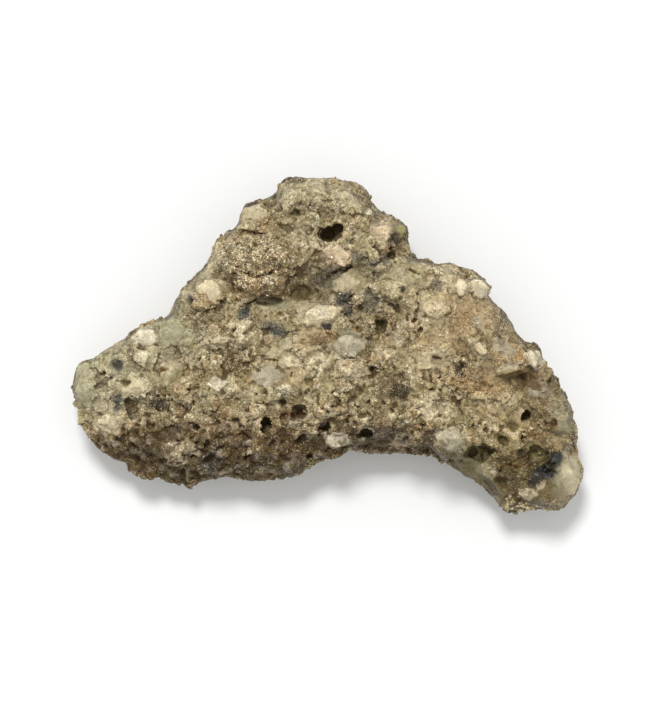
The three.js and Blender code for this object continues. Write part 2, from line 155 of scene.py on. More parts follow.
def finished(piece):
    """Puts what the modifiers make into the piece's own mesh."""
    graph = bpy.context.evaluated_depsgraph_get()
    made = bpy.data.meshes.new_from_object(piece.evaluated_get(graph))
    piece.modifiers.clear()
    old = piece.data
    piece.data = made
    bpy.data.meshes.remove(old)


def rows(items, key, width, kind=np.float32):
    """One row of numbers for each item of a mesh."""
    out = np.zeros(len(items) * width, kind)
    items.foreach_get(key, out)
    return out.reshape(-1, width).astype(float if kind is np.float32 else int)


def kept(mesh, key, values):
    """Keeps a value, or a colour and its strength, at each point of a mesh."""
    kind, field = ("FLOAT", "value") if values.ndim == 1 else ("FLOAT_COLOR", "color")
    given = mesh.attributes.new(key, kind, "POINT").data
    given.foreach_set(field, values.astype(np.float32).ravel())


def rise(low, high, value):
    """0 below low, 1 above high, and a smooth rise between."""
    t = np.clip((value - low) / (high - low), 0, 1)
    return t * t * (3 - 2 * t)


remesh = body.modifiers.new("even", "REMESH")
remesh.mode = "VOXEL"
remesh.voxel_size = VOXEL
soften = body.modifiers.new("soften", "SMOOTH")
soften.factor = SOFTEN_SHARE
soften.iterations = SOFTEN_PASSES
finished(body)
under = body.vertex_groups.new(name="underside")
facing = rows(body.data.vertex_normals, "vector", 3)[:, 2]
under.add([int(i) for i in np.nonzero(facing < UNDERSIDE)[0]], 1.0, "REPLACE")
thin = body.modifiers.new("thin", "DECIMATE")
thin.ratio = THINNED_TO
thin.vertex_group = "underside"
finished(body)
body.vertex_groups.clear()

points = rows(body.data.vertices, "co", 3)
normals = rows(body.data.vertex_normals, "vector", 3)
edges = rows(body.data.edges, "vertices", 2, np.int32)
edges_at = np.maximum(np.bincount(edges.ravel(), minlength=len(points)), 1)
# Where the rim stands a little further out or in than the plain solid's, in millimetres:
# [x, y, reach, move in x, move in y].
RIM_MOVES = [
    (-9.8, 6.4, 2.6, -0.4, 0.26), (-5.4, 11.6, 1.7, -0.26, 0.3), (-0.7, 13, 1.3, 0, 0.2),
    (-16.1, 0.4, 0.9, 0.18, -0.3), (-17.6, -0.3, 0.8, -0.14, 0.26), (-18.4, -7.5, 1.3, -0.2, -0.2),
    (19.4, -11.2, 1, -0.34, 0.24), (18.5, -12.6, 0.9, 0.06, -0.2), (6.2, -8.4, 2, 0, 0.2),
    (9.4, -9.3, 1.2, 0.06, 0.2), (6.3, 8, 0.9, -0.22, 0), (4.4, 10.5, 0.9, -0.14, -0.12),
    (16.9, -1, 0.9, -0.24, -0.1), (19.1, -5, 1, -0.18, 0), (-12.6, 2.6, 1.2, -0.12, 0.16),
    (-11, 4.7, 1, -0.14, 0.1),
]
for x, y, reach, move_x, move_y in RIM_MOVES:
    share = np.exp(-((points[:, 0] - x) ** 2 + (points[:, 1] - y) ** 2) / reach ** 2)
    points[:, 0] += share * move_x
    points[:, 1] += share * move_y


def evened(values, passes):
    """Values at the points, each moved towards the mean of its neighbours, again and again."""
    out = values.copy()
    for _ in range(passes):
        for k in range(out.shape[1]):
            total = np.bincount(edges[:, 0], out[edges[:, 1], k], len(out))
            total += np.bincount(edges[:, 1], out[edges[:, 0], k], len(out))
            out[:, k] = 0.5 * out[:, k] + 0.5 * total / edges_at
    return out


def unevenness(at, size, shift):
    """Smooth noise from -1 to 1 at each point, that varies over about `size` millimetres.

    Each use has its own `shift`, so that no two patterns are alike.
    """
    return np.array([noise.noise(Vector(p)) for p in at / size + shift])


def cells(at, size, shift):
    """Each point's own cell of a scattered pattern, about `size` millimetres across.

    Gives the cell's middle, the gap to the next cell and four chances from 0 to 1.
    """
    found = [noise.voronoi(Vector(p)) for p in at / size + shift]
    middle = np.array([f[1][0] for f in found])
    gap = np.array([f[0][1] - f[0][0] for f in found]) * size
    mixer = np.array([
        [127.1, 269.5, 419.2, 93.7], [311.7, 183.3, 371.9, 57.3], [74.7, 246.1, 33.5, 161.9]])
    chances = np.modf(np.abs(np.sin(middle @ mixer)) * 4375.8545)[0]
    return (middle - shift) * size, gap, chances


NEAR_PASSES = 6  # to the slope of a few grains
BROAD_PASSES = 90  # to the slope of a whole side
wobble = unevenness(points, 0.7, 11.3)
ripple = unevenness(points, 0.33, 4.1)
upward = rise(-0.45, 0.1, normals[:, 2])
glass_below = 1 - upward
direction = evened(normals, NEAR_PASSES)
direction /= np.linalg.norm(direction, axis=1)[:, None]
outer_wall = 1 - rise(0.0, 0.4, evened(normals, BROAD_PASSES)[:, 2])
# Distance added on the steep outer wall and the underside, which keeps marks off them.
OFF_WALL = 1.5
OFF_UNDERSIDE = 9.0
BLUNTNESS = 0.28


def patch(x, y, length, width, turn, ragged=0.4, corners=0):
    """How far each point lies from a mark's middle, 1 at its edge, seen from above."""
    a = math.radians(turn)
    dx, dy = points[:, 0] - x, points[:, 1] - y
    u = (dx * math.cos(a) + dy * math.sin(a)) * 2 / length
    v = (dy * math.cos(a) - dx * math.sin(a)) * 2 / width
    far = np.hypot(u, v) * (1 + ragged * wobble + 0.6 * ragged * ripple)
    if corners:
        sector = 2 * math.pi / corners
        aside = (np.arctan2(v, u) + x + 2 * y) % sector - sector / 2
        far = far * np.cos(aside) / math.cos(sector * BLUNTNESS)
    return far + OFF_WALL * outer_wall + OFF_UNDERSIDE * (normals[:, 2] < UNDERSIDE)


def clast(x, y, length, width, turn):
    """The same for a mineral grain, which has a cleaner edge and four or five corners."""
    return patch(x, y, length, width, turn, ragged=0.2, corners=4 + round(10 * x) % 2)


def most_of(parts, inner, outer, ragged=0.4):
    """The most that any listed place gives each point, in full inside `inner` of its edge."""
    most = np.zeros(len(points))
    for x, y, length, width, turn, share in parts:
        far = patch(x, y, length, width, turn, ragged)
        most = np.maximum(most, share * (1 - rise(inner, outer, far)))
    return most


# The tables of places are in millimetres and degrees, and each starts with
# [x, y, length, width, turn].
# Smooth parts of the rough side, which are flat faces of large grains, and glass: how smooth.
SMOOTH_PARTS = [
    (1.6, 0.1, 2.7, 2.1, 20, 0.7), (-4.6, -2.3, 2.2, 1.6, 10, 0.65),
    (-19.1, -3.1, 2.1, 3.6, 0, 0.75), (-14.3, 0.9, 2.1, 1.7, -20, 0.7),
    (-0.8, 2.4, 3.5, 2, -8, 0.6), (-1.4, 0.6, 2.1, 1.9, 0, 0.5), (0.7, 7, 2.4, 1.6, -12, 0.65),
    (11.9, 4.6, 1.7, 1.7, 0, 0.85), (10.4, 4.5, 0.9, 1.1, 0, 0.8), (16.1, -0.8, 1.5, 1.8, 20, 0.75),
    (-9, 4.5, 1.9, 1.5, 15, 0.7), (-6, 10.5, 1.8, 1.5, -5, 0.6), (18.7, -10.2, 2.2, 3.2, -10, 0.85),
    (17.2, -11.6, 3.6, 1.8, 12, 0.7), (9.6, -7.2, 2.4, 1.9, -10, 0.6),
    (11.3, -9.6, 3.2, 1.5, -22, 0.85), (5.6, 9.2, 2, 1.5, 30, 0.85), (-12, 1.2, 2.4, 2, 0, 0.55),
    (11.7, -0.3, 2, 0.9, -50, 0.7), (13.6, -0.1, 2, 0.9, -35, 0.65), (4.1, 9.1, 1.8, 1.4, -15, 0.5),
    (-12.6, 4.4, 1, 2.4, -30, 0.7), (1.2, 4.9, 1.7, 1.6, 0, 0.5), (6.9, 5.2, 2.6, 1.4, -10, 0.45),
    (-2, 12.3, 2.6, 1, -5, 0.4), (13.7, -2, 2.3, 1.1, 15, 0.5), (-3.9, 3.1, 2.6, 0.9, 0, 0.5),
    (0.8, -7.3, 2.2, 1.2, -10, 0.5), (-3.3, -1.3, 1.2, 0.9, 0, 0.6), (8, 2.6, 2.4, 1.9, -20, 0.4),
    (8.2, -3.4, 2.2, 1, 0, 0.3), (4.6, -0.9, 1.8, 1, 10, 0.3), (-8.6, -2.9, 1.4, 1, 0, 0.5),
    (8.5, -0.8, 2.2, 1.8, 0, 0.45), (16.4, -3.3, 2.1, 1.5, -20, 0.55),
    (8.5, -4.9, 2.8, 2, -10, 0.4), (12.4, -9.7, 1.6, 0.9, -30, 0.6),
    (-15, -3.2, 2.4, 1.4, 10, 0.45), (-17.2, -6, 2.4, 1.6, -15, 0.5), (-6, -3.9, 1.9, 1.1, 10, 0.5),
    (2.4, -1.9, 1.7, 1.2, -10, 0.5), (16.3, -10.1, 1.5, 1, 50, 0.9), (17.3, -9.55, 1.8, 1, 25, 0.9),
    (17.9, -8.8, 1.2, 0.9, 80, 0.9), (-12.8, -8, 2.6, 1.6, 0, 0.35),
]
# Burst bubbles and gaps too small for the solid: how deep.
SMALL_HOLLOWS = [
    (0, 8.65, 1.5, 1.2, 10, 0.4), (0.75, 9.05, 1, 0.8, 20, 0.5), (-4.8, -6.1, 0.7, 1.1, -12, 0.8),
    (-2.4, -5.1, 0.9, 1.2, 30, 0.6), (4.1, 1.7, 1.1, 1, 0, 0.2), (15.4, -5.4, 0.55, 0.75, -30, 0.6),
    (14.5, -9.35, 1, 0.3, -10, 0.4), (7.2, 1.25, 0.45, 0.42, 0, 0.6),
    (7.55, 2.2, 0.3, 0.28, 0, 0.4), (-13.2, -3.9, 0.4, 0.36, 0, 0.4),
    (-12.7, -3.9, 0.36, 0.34, 0, 0.4), (-13.1, -4.8, 0.75, 0.5, 10, 0.5),
    (-15.7, -2.8, 1, 1, 0, 0.5), (-15.4, -5.15, 0.4, 0.34, 0, 0.4),
    (-13.7, -6.2, 0.85, 0.55, -10, 0.6), (-9.7, -6.6, 0.65, 0.4, 0, 0.4),
    (-8.9, -5.1, 0.3, 0.26, 0, 0.35), (-11.4, -7.2, 0.95, 0.45, 10, 0.6),
    (-14.3, -8.2, 0.36, 0.32, 0, 0.4), (-14.9, -8.8, 1, 0.45, -25, 0.5),
    (-14.5, -0.1, 0.95, 0.32, -12, 0.4), (-7.8, 1.85, 0.5, 0.28, 30, 0.45),
    (-8.3, 3.4, 0.34, 0.28, 0, 0.35), (-10.1, -3.3, 0.3, 0.28, 0, 0.35),
    (-7, -2.2, 0.36, 0.32, 0, 0.4), (-7.1, -5.8, 0.75, 0.65, 20, 0.6),
    (-6.1, -5.9, 0.34, 0.42, 0, 0.45), (-5.6, -3.8, 0.36, 0.32, 0, 0.45),
    (-5.4, -1.8, 0.55, 0.42, -30, 0.6), (-3.6, -4.4, 0.75, 0.5, 20, 0.5),
    (-0.1, -6.35, 0.6, 0.5, 0, 0.6), (0.7, -4.7, 0.75, 0.34, 15, 0.4),
    (2.7, -5.3, 0.8, 0.7, 0, 0.5), (2.1, -6, 0.28, 0.55, 0, 0.5), (5.2, -6.3, 0.42, 0.4, 0, 0.5),
    (6, -7.2, 0.6, 0.5, 0, 0.5), (3.5, -1.8, 0.65, 0.36, 20, 0.5), (5.1, -4.5, 0.65, 0.55, 0, 0.5),
    (8.5, -1, 0.8, 0.45, -10, 0.5), (8, -3.4, 0.34, 0.3, 0, 0.4), (8.7, -3.45, 0.34, 0.3, 0, 0.4),
    (8.8, -5.3, 0.45, 0.4, 0, 0.45), (7, -4.8, 0.42, 0.36, 0, 0.4), (10.3, -1.4, 0.6, 0.5, 0, 0.55),
    (10.35, -2.3, 0.3, 0.8, 10, 0.35), (10.8, 5.4, 0.36, 0.3, 0, 0.35),
    (17.5, -6, 0.65, 0.8, 10, 0.5), (11.5, -6.2, 0.65, 0.5, 20, 0.4),
    (12.3, -6.5, 0.5, 0.4, 0, 0.3), (15.1, -8.2, 0.5, 0.4, -20, 0.3),
    (13.5, -10.6, 1.2, 0.8, -30, 0.5), (13.4, -9.6, 0.85, 0.45, 0, 0.4),
    (-3.8, 10.6, 0.65, 0.45, 0, 0.4), (-6.8, 7.8, 0.36, 0.3, 0, 0.35),
    (-1.4, -8.7, 0.5, 0.45, 0, 0.5), (-2, -7.2, 0.95, 0.6, 25, 0.6),
    (-5.9, 5.5, 1.6, 0.34, -12, 0.6), (-4.6, 5.65, 1.3, 0.32, 14, 0.55),
    (-7.1, 5.5, 0.7, 0.3, 0, 0.5), (-4.2, 3.65, 1.4, 0.34, -8, 0.22), (-5.3, 3.8, 1, 0.3, 20, 0.2),
    (-7.4, 4.5, 0.3, 0.9, 5, 0.4), (-2.4, 6, 0.5, 0.4, 0, 0.3), (-5.9, 8.75, 2.2, 0.3, -8, 0.4),
    (6.6, 5.8, 0.85, 0.24, -25, 0.4), (-4.3, -1.1, 1.3, 0.22, -8, 0.3),
    (-10.2, -6.3, 0.6, 0.5, 0, 0.5), (-9.3, -8.9, 1, 0.7, 20, 0.6), (4.9, 7, 0.6, 0.5, 0, 0.5),
    (-3.4, -5.5, 0.9, 0.45, 25, 0.4), (3.3, 0.7, 0.7, 0.5, 0, 0.4), (1.9, 1.9, 0.6, 0.3, -20, 0.3),
    (-16.2, -7.4, 1.3, 0.5, -25, 0.45), (-12.4, -6.4, 1.2, 0.5, 10, 0.4),
    (-12.9, -9, 1.1, 0.5, 5, 0.45), (-8.3, -7.3, 0.9, 0.5, 15, 0.45), (-6.2, -8, 1, 0.6, -10, 0.45),
    (-4.2, -7.6, 0.8, 0.5, 20, 0.4), (-7.6, -9.4, 1, 0.5, 0, 0.4), (-10.6, -9.9, 0.9, 0.4, 0, 0.35),
    (-3.2, -8.9, 0.9, 0.5, 15, 0.4), (1.4, -7.9, 0.7, 0.4, 0, 0.35), (-8.6, -6, 0.7, 0.5, 0, 0.45),
    (12.7, -8.2, 0.7, 0.5, 20, 0.4),
]
# Wide hollows with no sharp rim, and low rises where the depth is less than 0: how deep.
SOFT_HOLLOWS = [
    (11.4, -8.8, 2.8, 2.2, 0, 0.3), (16.2, -8.4, 1.5, 2.2, 30, 0.2),
    (14.4, -6.2, 1.3, 1.1, -20, 0.4), (13.4, -7.1, 1.2, 1, -30, 0.2),
    (-15.7, -2.8, 1.3, 1.2, 0, 0.3), (16.4, -10.2, 1.5, 1, 35, -0.7),
    (17.4, -9.4, 1.5, 1, 42, -0.8), (-1.9, 4.3, 1.8, 1.3, -10, 0.4), (-6, 7.2, 3.4, 2.2, 10, -0.3),
    (-5.4, 4.7, 3.2, 1.4, 0, -0.35), (-12.6, -7, 2.6, 1.2, 25, 0.3), (3.4, -6.6, 2, 1, 0, 0.3),
    (0.95, 6, 2.8, 0.8, 22, -0.35), (-4.9, 3.75, 2.2, 0.7, 0, -0.2), (-1.4, 0.6, 2, 1.8, 0, -0.12),
]
# Wide places where the crust is melted smooth, with soft edges: how smooth.
CALM_PARTS = [
    (-7.2, -4.9, 2.4, 1.5, 0, 0.7), (18.7, -5.6, 2.2, 3.6, 10, 0.7), (-10, 5.6, 2.2, 4.4, -35, 0.6),
    (6.2, 5.4, 4.2, 2, -12, 0.7), (-11.6, -1, 3.4, 1.8, 0, 0.5), (-2.3, 0.4, 3, 1.6, 10, 0.65),
    (-2.4, -2.9, 1.8, 1.2, 0, 0.6), (9.5, 3.6, 2.2, 1.5, -30, 0.5), (6.2, -0.8, 2.2, 1.4, 0, 0.5),
    (-5, -2.6, 3.4, 2, 5, 0.6), (0.6, 4.4, 2.4, 2, 0, 0.6), (-2.4, 9, 2.6, 1.6, -10, 0.5),
    (-0.9, 1.2, 2.4, 1.4, -20, 0.6), (11.2, -9.3, 3.6, 1.8, -22, 0.8),
    (17.6, -11.4, 4.4, 2.8, 15, 0.85), (-17.6, -5.2, 2, 2, 0, 0.35), (18.6, -8, 2.4, 7, 10, 0.75),
    (13, -10.6, 4, 2, -35, 0.7), (-3.8, 8.6, 2.2, 3.2, 10, 0.6), (1, 12.2, 4.6, 1.4, -5, 0.5),
    (-3, 3.4, 3.2, 1.6, 0, 0.65), (-13, -6.9, 3, 1.4, 10, 0.5), (-12.4, -2.8, 2.6, 1.6, 0, 0.6),
    (2.4, -4, 2.2, 1.4, 0, 0.6), (16, -2, 2.4, 2, 0, 0.5), (-9.2, -3.4, 2, 1.4, 0, 0.5),
    (14.8, -4.2, 2.8, 1.6, -10, 0.4), (-6, 10.3, 2, 1.8, 0, 0.6), (3, 11.2, 2.4, 1.4, -30, 0.4),
    (9, -6.9, 3.6, 1.6, -8, 0.5), (13, 2.6, 1.6, 3, 25, 0.4), (-14.6, -1.8, 2.2, 1.2, 10, 0.5),
]
# Wide places where the crust is loose and crumbly: how loose.
LOOSE_PARTS = [
    (-5.8, 5.6, 4.8, 3.6, 10, 1), (-7, -1.2, 3.4, 3, 10, 0.9), (-14.2, -4.6, 4, 1.8, 0, 0.7),
    (-11.6, -7.8, 2.4, 2, 0, 0.7), (-3.2, -6.3, 4.6, 2.6, 0, 0.8), (3.4, 1.2, 3.6, 2.6, 0, 0.8),
    (3.4, -1.6, 2.2, 2, 0, 0.7), (10.4, -1.6, 2.4, 2.4, 0, 0.8), (8.6, -3.6, 2.6, 1.4, 0, 0.6),
    (-9.2, 2.6, 3, 2.2, 0, 0.6), (-15.6, -0.8, 2.6, 1.8, 20, 0.5), (5.2, 8, 1.8, 2.4, 0, 0.6),
    (2.2, 3.4, 1.8, 2.2, 0, 0.6), (-10, -5.4, 2.6, 1.6, 0, 0.6), (12.6, -3.6, 2.6, 1.4, -20, 0.5),
    (0.3, 8.6, 3.2, 2.2, 20, 0.4), (0, 0.9, 1.8, 1.4, 0, 0.5), (7, 2.4, 2, 1.6, 0, 0.5),
    (5.4, -3.4, 1.8, 1.4, 0, 0.5), (-5.6, -5, 2.4, 1.6, 0, 0.5),
]
SANDY_KNOB = (-5.4, 6.3, 5.8, 4.6, 8)
CALM_BY_CHANCE = 0.75
loose = most_of(LOOSE_PARTS, 0.5, 1.3)
knob = 1 - rise(0.7, 1.15, patch(*SANDY_KNOB))
# The lower wall leans outwards, so it shows from above all the way down.
lower_wall = rise(-5.5, -7.5, points[:, 1]) * rise(12.0, 9.0, points[:, 0])
calm = unevenness(points, 1.9, 141.0) + 0.5 * unevenness(points, 0.8, 147.0)
calm = CALM_BY_CHANCE * rise(0.0, 0.45, calm)
calm *= (1 - 0.9 * knob) * (1 - 0.8 * loose) * (1 - 0.2 * lower_wall)
calm = np.maximum(calm, most_of(CALM_PARTS, 0.6, 1.25))
flatness = np.zeros(len(points))
groove = np.zeros(len(points))
for x, y, length, width, turn, share in SMOOTH_PARTS:
    far = clast(x, y, length, width, turn)
    flatness = np.maximum(flatness, share * (1 - rise(0.85, 1.05, far)))
    groove = np.maximum(groove, share * rise(0.9, 1.05, far) * (1 - rise(1.1, 1.35, far)))
groove *= 1 - rise(0.2, 0.6, flatness)
roughness = (1 - flatness) * upward


def picked(chance, stops):
    """The colour at each chance along a row of (place, colour) stops."""
    places = [place for place, _ in stops]
    parts = [np.interp(chance, places, [colour[k] for _, colour in stops]) for k in range(3)]
    return np.stack(parts, 1)


def laid_over(colours, new, cover):
    """Colours covered by new ones, by a share for each point."""
    return colours * (1 - cover[:, None]) + new * cover[:, None]


# The matrix between the larger grains, and the grains themselves, from darkest to palest.
MATRIX_COLOURS = [
    (0.0, (0.068, 0.043, 0.009)), (0.4, (0.175, 0.129, 0.046)), (0.72, (0.31, 0.25, 0.127)),
    (1.0, (0.47, 0.40, 0.25)),
]
GRAIN_COLOURS = [
    (0.0, (0.034, 0.019, 0.004)), (0.1, (0.093, 0.058, 0.014)), (0.3, (0.19, 0.14, 0.052)),
    (0.52, (0.31, 0.25, 0.13)), (0.76, (0.46, 0.392, 0.245)), (0.93, (0.59, 0.518, 0.36)),
    (1.0, (0.68, 0.615, 0.46)),
]
# Grains that still show in the melt, in millimetres:
# [size, share that shows, tilt, step, gap depth, gap width, colour cover].
GRAIN_SIZES = [
    (2.7, 0.6, 0.3, 0.1, 0.0, 0.22, 0.45),
    (1.2, 0.55, 0.42, 0.18, 0.02, 0.16, 0.7),
    (0.5, 0.45, 0.42, 0.17, 0.0, 0.1, 0.65),
]
GRAIN_LOWEST, GRAIN_HIGHEST = -0.26, 0.3
LARGE_GRAIN = 1
LARGE_SETTLE, SMALL_SETTLE = 0.62, 0.88  # share of a grain that melts away in calm parts
warp = np.stack([unevenness(points, 0.9, shift) for shift in (61.0, 67.0, 71.0)], 1)
grit = unevenness(points, 0.3, 21.0) + 0.5 * unevenness(points, 0.19, 30.0)
swell = unevenness(points, 2.2, 5.0)
blotch = unevenness(points, 1.5, 91.0) + 0.6 * unevenness(points, 0.6, 97.0) + 0.3 * grit
ground = picked(np.clip(0.5 + 0.7 * blotch, 0, 1), MATRIX_COLOURS)
lift = np.zeros(len(points))
for size, shows, tilt, step, gap_deep, gap_wide, cover in GRAIN_SIZES:
    middle, gap, chances = cells(points + 0.3 * size * warp, size, 3.7 + size)
    settled = 1 - calm * (LARGE_SETTLE if size > LARGE_GRAIN else SMALL_SETTLE)
    there = (chances[:, 0] < shows) * roughness * settled * (1 - 0.15 * outer_wall)
    lean = (chances[:, 1:4] - 0.5) * 2 * tilt
    stands = ((points - middle) * lean).sum(1) + (chances[:, 3] - 0.2) * step * size
    lift += there * np.clip(stands, GRAIN_LOWEST, GRAIN_HIGHEST)
    lift -= roughness * gap_deep * (1 - rise(0.0, gap_wide, gap))
    cover = cover * (chances[:, 0] < shows) * rise(0.0, gap_wide * 0.7, gap) * upward * settled
    ground = laid_over(ground, picked(chances[:, 1], GRAIN_COLOURS), cover)

# Heights of the finer relief, in millimetres.
GRIT = 0.06
FINEST = 0.02
CLAST_STANDS = 0.06
CLAST_FACE = 0.05
CLAST_GROOVE = 0.1
WALL_LUMPS = 0.14
WALL_BITES = 0.3
UNDER_SWELL = 0.05
TALL_BITES = (1, 1, 1.7)
loosened = 1 - 0.6 * calm + 0.6 * loose
lift += roughness * loosened * (GRIT * grit - FINEST) + CLAST_STANDS * flatness * upward
lift -= CLAST_GROOVE * groove * upward * rise(-0.3, 0.3, unevenness(points, 0.8, 77.0))
lift += WALL_LUMPS * roughness * lower_wall * unevenness(points, 0.95, 401.0)
lift += flatness * upward * (CLAST_FACE * unevenness(points, 0.5, 13.0) + FINEST * grit)
lift += glass_below * (UNDER_SWELL * swell + FINEST * unevenness(points, 0.8, 2.0))
lift *= 0.5 + 0.5 * rise(0.15, 0.65, np.abs(normals[:, 2]))
points += direction * lift[:, None]
bites = rise(0.0, 0.55, unevenness(points * TALL_BITES, 1.5, 301.0))
points -= direction * (WALL_BITES * outer_wall * upward * bites)[:, None]

depth = most_of(SMALL_HOLLOWS, 0.6, 1.1, ragged=0.5)
for x, y, length, width, turn, deep in SOFT_HOLLOWS:
    depth += deep * (1 - rise(0.1, 1.15, patch(x, y, length, width, turn, ragged=0.35)))
points -= direction * depth[:, None]

# Pinholes, where small bubbles burst. They lie closest together along the lower edge.
PINHOLES = 150
SMALL_PIN, LARGE_PIN = 0.1, 0.18
MOST_DRAWN_OUT = 0.65
crowd = rise(-1.0, -6.0, points[:, 1]) * rise(12.0, 6.0, points[:, 0]) * 1.2 + 0.25
crowd = roughness ** 3 * (1 - rise(0.2, 0.4, flatness)) * (1 - 0.8 * calm) * crowd
crowd *= rise(-0.05, 0.35, unevenness(points, 2.6, 40.0)) + 0.06
seats = rng.choice(len(points), PINHOLES, replace=False, p=crowd / crowd.sum())
near = KDTree(len(points))
for k, p in enumerate(points):
    near.insert(p, k)
near.balance()
pin_depth = np.zeros(len(points))
for seat in seats:
    radius = rng.uniform(SMALL_PIN, LARGE_PIN) * (1 + 0.6 * rng.random() ** 4)
    along = Vector(rng.normal(size=3)).normalized()
    squeeze = rng.uniform(0.0, MOST_DRAWN_OUT)
    for place, k, gap in near.find_range(points[seat], radius * 1.8):
        off = Vector(place) - Vector(points[seat])
        gap = math.sqrt(max(gap * gap - squeeze * off.dot(along) ** 2, 0))
        gap *= 1 + 0.5 * wobble[k] + 0.4 * ripple[k]
        pin_depth[k] = max(pin_depth[k], radius * 2 * float(1 - rise(0.6, 1.2, gap / radius)))
points -= direction * pin_depth[:, None]
points[:, 2] = np.maximum(points[:, 2], 0)

# How far each point lies below its surroundings: [smoothing passes, name, depth that is 1].
CREVICES = [(3, "crevice_fine", 0.05), (24, "crevice_wide", 0.2)]
for passes, key, reach in CREVICES:
    level = evened(points, passes)
    sunk = ((level - points) * direction).sum(1) / reach
    sunk = np.where(sunk < 0, sunk * (1 - 0.8 * outer_wall), sunk)
    kept(body.data, key, np.clip(sunk, -1, 1))

# What stains and colours single spots, and what paints light and shade, as linear colours.
SLATE = (0.025, 0.027, 0.0285)
BLACK = (0.016, 0.013, 0.009)
CHALK = (0.62, 0.57, 0.45)
WHITE = (0.52, 0.465, 0.335)
CREAM = (0.47, 0.40, 0.255)
PINK = (0.46, 0.36, 0.235)
GREY = (0.30, 0.268, 0.185)
GREEN = (0.285, 0.262, 0.16)
OLIVE = (0.12, 0.095, 0.034)
RUST = (0.125, 0.066, 0.026)
UMBER = (0.055, 0.034, 0.01)
# Painted shade, partly dirt, for steep faces and the outer wall.
RIM_SHADE_AND_DIRT = (0.062, 0.05, 0.035)
OCHRE = (0.345, 0.25, 0.122)
AMBER = (0.30, 0.175, 0.07)
MOSS = (0.19, 0.165, 0.068)
PALE = (0.52, 0.455, 0.30)
ROSY = (0.27, 0.225, 0.165)
PIN_RUST = [0.6 * part for part in RUST]
CLAST_COLOURS = (CHALK, WHITE, CREAM, PINK, GREY)
CLAST_EDGE = (0.85, 1.12)
MINERAL_EDGE = (0.62, 1.4)
WASH_EDGE = (0.55, 1.35)
